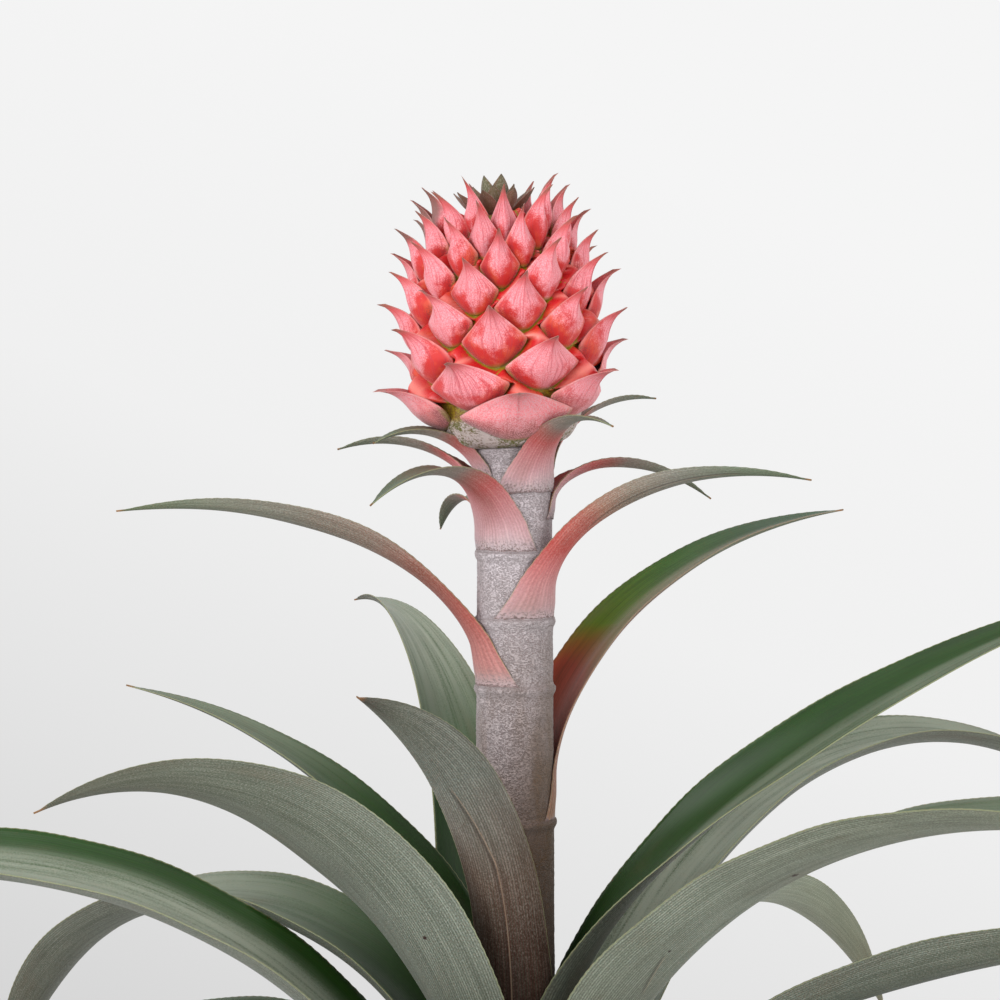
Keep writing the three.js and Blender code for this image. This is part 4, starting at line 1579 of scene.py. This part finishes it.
    def build_body(self, bracts: BVHTree) -> None:
        """Spins the core and swells it into one fruitlet above each bract, under the bracts' faces."""
        bm = bmesh.new()
        valley, sepal, low = layers(bm, "valley", "sepal", "low")
        heights = [self.core_length * (ring / self.body_rings) ** 1.25 for ring in range(self.body_rings + 1)]
        sides = [(self.radius(h), h) for h in heights]
        spin(bm, chain(bm, [(0.0, 0.0), *sides, (0.0, self.core_length)]), self.body_sides)
        face_outwards(bm)

        points = np.array([v.co for v in bm.verts])
        relief = self._fruitlets(points)
        for i, vert in enumerate(bm.verts):
            if 0.01 < points[i][2] < self.core_length - 0.01:
                vert.co += vert.normal * float(relief["rise"][i])
            vert[valley] = float(relief["valley"][i])
            vert[sepal] = float(relief["sepal"][i])
            vert[low] = 1 - smoothstep(points[i][2], *self.mealy_foot)
        place = STEM.seat(self.body_gap)
        bmesh.ops.transform(bm, matrix=place, verts=bm.verts)
        self._under_bracts(bm, place, bracts)
        body = finish_mesh(bm, "fruit_body", BerryFinish().material())
        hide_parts("fruit")

    def build_bracts(self) -> BVHTree:
        """Grows the bracts in their golden-angle order, and gives their faces."""
        chance = random.Random(11)
        bm = bmesh.new()
        rank, tones = layers(bm, "rank", "tone")
        for seat in self.seats():
            tone = chance.random()
            width = seat.width * chance.uniform(*self.width_spread)
            length = seat.length * chance.uniform(*self.length_spread)
            sway = chance.uniform(-self.sway, self.sway)
            nod = chance.uniform(-self.nod, self.nod)
            twist = chance.uniform(-self.twist, self.twist) * seat.share**0.5
            matrix = STEM.seat(SEAT_GAP) @ self.seat_matrix(seat)
            for vert, across, along, inner in two_sided_grid(bm, self.bract_columns, self.bract_rows):
                place = SCALE.point(width, length, across, along, inner)
                place.x += sway * along**2.4
                place.z += nod * along**3 + twist * across * width / 2 * smoothstep(along, 0.1, 0.7)
                crease = math.exp(-abs(across) / 0.16) * smoothstep(along, 0.1, 0.6) * (1 - along) ** 0.5
                place.z += self.keel_rise * crease * (1 - inner)
                ridges = math.sin(across * 21 + tone * 9) * self.ridge_rise * (1 - along) * (1 - across**2)
                place.z += ridges * (1 - inner)
                vert.co = matrix @ place
                vert[rank] = seat.share
                vert[tones] = tone
        face_outwards(bm)
        faces = BVHTree.FromBMesh(bm)
        bracts = finish_mesh(bm, "fruit_bracts", BractFinish().material())
        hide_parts("fruit")
        return faces

    def build(self) -> None:
        """Makes the whole fruit."""
        self.build_body(self.build_bracts())


@dataclass(frozen=True)
class CrownRing:
    """A ring of alike leaflets.

    Azimuth is the first one's. Out and up place their feet, lean tips them outwards, and green is 1 for the grey-green
    ones and 0 for the brown-red ones.
    """

    count: int
    azimuth: float
    out: float
    up: float
    lean: float
    width: float
    length: float
    green: float


@dataclass
class Crown:
    """The tuft of dark leaflets on top of the fruit."""

    rings: tuple[CrownRing, ...] = (
        CrownRing(8, 165, 4.6, 0.2, 42, 4.0, 6.8, 0.0),
        CrownRing(6, 210, 2.4, 0.2, 24, 4.6, 6.6, 0.5),
        CrownRing(1, 232, 1.3, 0.8, 12, 4.4, 7.9, 1.0),
        CrownRing(1, 303, 1.6, 0.8, 12, 5.4, 8.0, 0.8),
    )
    core_radius: float = 5.0
    core_top_radius: float = 0.6
    core_height: float = 3.0
    core_sides: int = 24
    columns: int = 10
    rows: int = 18

    def build(self) -> None:
        """Grows the leaflets from the outermost to the innermost."""
        bm = bmesh.new()
        (rank,) = layers(bm, "rank")
        radii = {"radius1": self.core_radius, "radius2": self.core_top_radius}
        depth = self.core_height * 2
        core = bmesh.ops.create_cone(bm, cap_ends=True, segments=self.core_sides, depth=depth, **radii)["verts"]
        bmesh.ops.translate(bm, verts=core, vec=(0, 0, self.core_height))
        seat = STEM.seat(FruitHead.core_length + 2 * SEAT_GAP)
        bmesh.ops.transform(bm, matrix=seat, verts=core)
        for ring in self.rings:
            turned = Matrix.Rotation(math.radians(90 + ring.lean), 4, "X")
            moved = Matrix.Translation((0.0, -ring.out, ring.up))
            for leaflet in range(ring.count):
                azimuth = math.radians(ring.azimuth + 360 * leaflet / ring.count)
                matrix = seat @ Matrix.Rotation(azimuth + math.pi / 2, 4, "Z") @ moved @ turned
                for vert, across, along, inner in two_sided_grid(bm, self.columns, self.rows):
                    vert.co = matrix @ LEAFLET.point(ring.width, ring.length, across, along, inner)
                    vert[rank] = ring.green
        face_outwards(bm)
        tuft = finish_mesh(bm, "crown_tuft", CrownFinish().material())
        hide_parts("crown")


@dataclass
class Pot:
    """The plain tapered pot with a band at its rim and a ring of drain holes in its floor."""

    height: float = 108.0
    rim_radius: float = 61.0
    foot_radius: float = 42.0
    wall: float = 2.4
    floor: float = 3.2
    band_height: float = 16.0
    band_step: float = 2.2
    edge: float = 1.0
    sides: int = 144
    sharp_degrees: float = 38.0
    drain_holes: int = 6
    drain_radius: float = 2.6
    drain_circle: float = 24.0
    drain_depth: float = 12.0
    drain_sides: int = 32

    def inside_radius(self, z: float) -> float:
        """Radius of the inside wall at a height."""
        return lerp(self.foot_radius - self.wall, self.rim_radius - self.band_step - self.wall, z / self.height)

    def _wall(self) -> bmesh.types.BMesh:
        """Spins the wall's profile, with small rounds at its edges."""
        band = self.height - self.band_height
        under = self.inside_radius(band) + self.wall
        inside_top = self.inside_radius(self.height)
        corner = 0.3 * self.edge
        profile = (
            (0.0, 0.0),
            (self.foot_radius - self.edge, 0.0),
            (self.foot_radius - corner, corner),
            (self.foot_radius, self.edge),
            (under - 0.4, band - 0.9),
            (under + 0.1, band - 0.2),
            (self.rim_radius - self.edge, band),
            (self.rim_radius - 0.4, band + 0.4),
            (self.rim_radius - 0.1, band + 1.2),
            (self.rim_radius, self.height - self.edge),
            (self.rim_radius - corner, self.height - corner),
            (self.rim_radius - self.edge, self.height),
            (inside_top + self.edge, self.height),
            (inside_top + corner, self.height - corner),
            (inside_top, self.height - self.edge),
            (self.inside_radius(self.floor + 2), self.floor + 2),
            (self.inside_radius(self.floor) - 1.5, self.floor),
            (0.0, self.floor),
        )
        bm = bmesh.new()
        spin(bm, chain(bm, profile), self.sides)
        face_outwards(bm)
        return bm

    def _drills(self) -> bpy.types.Object:
        """The drain holes' drills, as one object."""
        bm = bmesh.new()
        radii = {"radius1": self.drain_radius, "radius2": self.drain_radius}
        for hole in range(self.drain_holes):
            drill = bmesh.ops.create_cone(
                bm, cap_ends=True, segments=self.drain_sides, depth=self.drain_depth, **radii
            )["verts"]
            aside = heading(2 * math.pi * hole / self.drain_holes) * self.drain_circle
            bmesh.ops.translate(bm, verts=drill, vec=aside)
        return mesh_object(bm, "drain_drills")

    def build(self) -> None:
        """Makes the pot in place of its node."""
        pot = finish_mesh(self._wall(), "pot_wall", PotFinish().material())
        drills = self._drills()
        cut = pot.modifiers.new("drains", "BOOLEAN")
        cut.operation = "DIFFERENCE"
        cut.solver = "EXACT"
        cut.object = drills
        graph = bpy.context.evaluated_depsgraph_get()
        drained = bpy.data.meshes.new_from_object(pot.evaluated_get(graph))
        pot.modifiers.clear()
        pot.data = drained
        bpy.data.objects.remove(drills)
        drained.shade_smooth()
        drained.set_sharp_from_angle(angle=math.radians(self.sharp_degrees))
        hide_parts("pot")


@dataclass
class Soil:
    """Loose soil that fills the pot, mounded at the stem, with crumbs lying on it.

    Each row of lumps has a depth and a pitch, and a crumb's stretch has limits along X, Y and Z.
    """

    level: float = 96.0
    mound: float = 4.0
    floor: float = 3.5
    wall_gap: float = 0.6
    stem_gap: float = 0.5
    foot_gap: float = 2.2
    edge_height: float = 1.5
    lumps: tuple[tuple[float, float], ...] = ((0.7, 6.2), (0.5, 2.0), (0.25, 0.7))
    rings: int = 34
    sides: int = 160
    crumbs: int = 420
    crumb_margin: float = 2.5
    crumb_stem_gap: float = 2.0
    crumb_radii: tuple[float, float] = (0.45, 1.5)
    crumb_stretch: tuple[tuple[float, float], ...] = ((0.7, 1.5), (0.7, 1.3), (0.5, 0.9))
    crumb_wobble: float = 0.3
    crumb_lift: float = 0.2
    most_crumb_turn: float = 6.3
    pot: Pot = field(default_factory=Pot)

    def _edge(self) -> float:
        """Radius of the soil's surface."""
        return self.pot.inside_radius(self.level) - self.wall_gap

    def top(self, x: float, y: float) -> float:
        """Height of the soil's surface, with its lumps."""
        reach = math.hypot(x, y)
        share = min(1.0, max(0.0, (self._edge() - reach) / (self._edge() - STEM.collar_radius)))
        lumps = 0.0
        for depth, pitch in self.lumps:
            lumps += depth * noise.noise(Vector((x / pitch, y / pitch, pitch)))
        return self.level + self.mound * share + lumps

    def _bed(self, bm: bmesh.types.BMesh) -> None:
        """Spins the bed and roughens its top."""
        edge = self._edge()
        mouth, hole = STEM.collar_radius + self.stem_gap, STEM.foot_radius + self.stem_gap
        bottom = STEM.foot_height - SEAT_GAP
        profile = [(0.0, self.floor), (self.pot.inside_radius(self.floor) - self.foot_gap, self.floor)]
        profile.append((edge, self.level - self.edge_height))
        profile += [(lerp(edge, mouth, ring / self.rings), self.level) for ring in range(self.rings + 1)]
        profile += [(hole, bottom), (0.0, bottom)]
        spin(bm, chain(bm, profile), self.sides)
        for vert in bm.verts:
            if abs(vert.co.z - self.level) < 0.01:
                vert.co.z = self.top(vert.co.x, vert.co.y)

    def build(self) -> None:
        """Fills the pot and scatters crumbs on the surface."""
        chance = random.Random(23)
        bm = bmesh.new()
        (tones,) = layers(bm, "tone")
        self._bed(bm)
        edge = self.pot.inside_radius(self.level) - self.crumb_margin
        for _ in range(self.crumbs):
            reach = math.sqrt(chance.uniform((STEM.collar_radius + self.crumb_stem_gap) ** 2, edge**2))
            angle = chance.uniform(0, 2 * math.pi)
            x, y = reach * math.cos(angle), reach * math.sin(angle)
            size = chance.uniform(*self.crumb_radii)
            tone = chance.random() ** 3
            made = bmesh.ops.create_icosphere(bm, subdivisions=1, radius=size)["verts"]
            stretch = Vector([chance.uniform(*limits) for limits in self.crumb_stretch])
            for vert in made:
                wobble = 1 + self.crumb_wobble * noise.noise(vert.co * 1.7 + Vector((x, y, size)))
                vert.co = Vector(a * b for a, b in zip(vert.co * wobble, stretch))
                vert[tones] = tone
            turn = Matrix.Rotation(chance.uniform(0, self.most_crumb_turn), 4, "Z")
            place = Matrix.Translation((x, y, self.top(x, y) + size * self.crumb_lift))
            bmesh.ops.transform(bm, matrix=place @ turn, verts=made)
        face_outwards(bm)
        soil = finish_mesh(bm, "soil_bed", SoilFinish().material())
        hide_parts("soil")


# Studio


class Side(Enum):
    """Which side of the plant a lamp stands on, as its azimuth in degrees."""

    FRONT_LEFT = 228.0
    FRONT_RIGHT = 312.0


@dataclass(frozen=True)
class Lamp:
    """A square soft lamp: where it stands, how wide it is and how strong."""

    name: str
    side: Side
    height: float
    reach: float
    size: float
    watts: float


@dataclass
class Studio:
    """The photograph's camera, soft lamps, a pale floor and a near-white backdrop."""

    look_at: tuple[float, float, float] = (-3.3, 0.0, 296.0)
    distance: float = 800.0
    elevation: float = 3.0
    lens_mm: float = 129.6
    sensor_mm: float = 36.0
    lamps: tuple[Lamp, ...] = (
        Lamp("key_lamp", Side.FRONT_LEFT, 620.0, 900.0, 700.0, 7.0),
        Lamp("fill_lamp", Side.FRONT_RIGHT, 420.0, 1000.0, 700.0, 3.0),
    )
    backdrop: Stops = (
        (0.0, (212, 212, 212)),
        (0.33, (229, 229, 229)),
        (0.6, (240, 240, 240)),
        (1.0, (245, 245, 245)),
    )
    backdrop_slant: tuple[float, float, float] = (0.45, 0.0, 1.0)
    backdrop_low: float = -0.26
    backdrop_high: float = 0.06
    floor_radius: float = 820.0
    floor_sides: int = 96

    def camera(self) -> None:
        """Places the camera in front of the plant."""
        data = bpy.data.cameras.new("camera")
        data.lens = self.lens_mm
        data.sensor_width = self.sensor_mm
        camera = bpy.data.objects.new("camera", data)
        tilt = math.radians(self.elevation)
        back = Vector((0.0, -math.cos(tilt), math.sin(tilt))) * self.distance
        camera.location = (Vector(self.look_at) + back) * MM
        camera.rotation_euler = (math.pi / 2 - tilt, 0.0, 0.0)
        bpy.context.scene.collection.objects.link(camera)
        bpy.context.scene.camera = camera

    def light(self, lamp: Lamp) -> None:
        """Adds a lamp that faces the fruit."""
        data = bpy.data.lights.new(lamp.name, "AREA")
        data.shape = "SQUARE"
        data.size = lamp.size * MM
        data.energy = lamp.watts
        light = bpy.data.objects.new(lamp.name, data)
        angle = math.radians(lamp.side.value)
        place = Vector((math.cos(angle) * lamp.reach, math.sin(angle) * lamp.reach, lamp.height))
        light.location = place * MM
        light.rotation_euler = (Vector(self.look_at) - place).to_track_quat("-Z", "Y").to_euler()
        bpy.context.scene.collection.objects.link(light)

    def world(self) -> None:
        """Lights the scene with a near-white backdrop, a little darker low down."""
        board = Board("backdrop", world=True)
        direction = board.node("ShaderNodeTexCoord").outputs["Generated"]
        slant = {0: direction, 1: self.backdrop_slant}
        height = board.node("ShaderNodeVectorMath", {"operation": "DOT_PRODUCT"}, slant).outputs["Value"]
        spread = {"Value": height, "From Min": self.backdrop_low, "From Max": self.backdrop_high}
        colour = board.ramp(board.node("ShaderNodeMapRange", None, spread).outputs[0], self.backdrop)
        background = board.node("ShaderNodeBackground", None, {"Color": colour})
        board.node("ShaderNodeOutputWorld", None, {0: background.outputs[0]})
        bpy.context.scene.world = board.owner

    def floor(self) -> None:
        """Lays the floor that the pot stands on."""
        bm = bmesh.new()
        bmesh.ops.create_circle(bm, cap_ends=True, segments=self.floor_sides, radius=self.floor_radius)
        floor = mesh_object(bm, "floor")
        floor.data.materials.append(FloorFinish().material())

    def build(self) -> None:
        """Sets up the whole studio."""
        self.camera()
        for lamp in self.lamps:
            self.light(lamp)
        self.world()
        self.floor()
        bpy.context.scene.view_settings.view_transform = "Standard"
        bpy.context.scene.view_settings.look = "None"


def main() -> None:
    """Builds the studio and dresses every part of the plant."""
    logging.basicConfig(level=logging.INFO, format="%(name)s: %(message)s")
    for maker in (Studio(), Pot(), Soil(), Stalk(), Foliage(), FruitHead(), Crown()):
        maker.build()


if __name__ == "__main__":
    main()
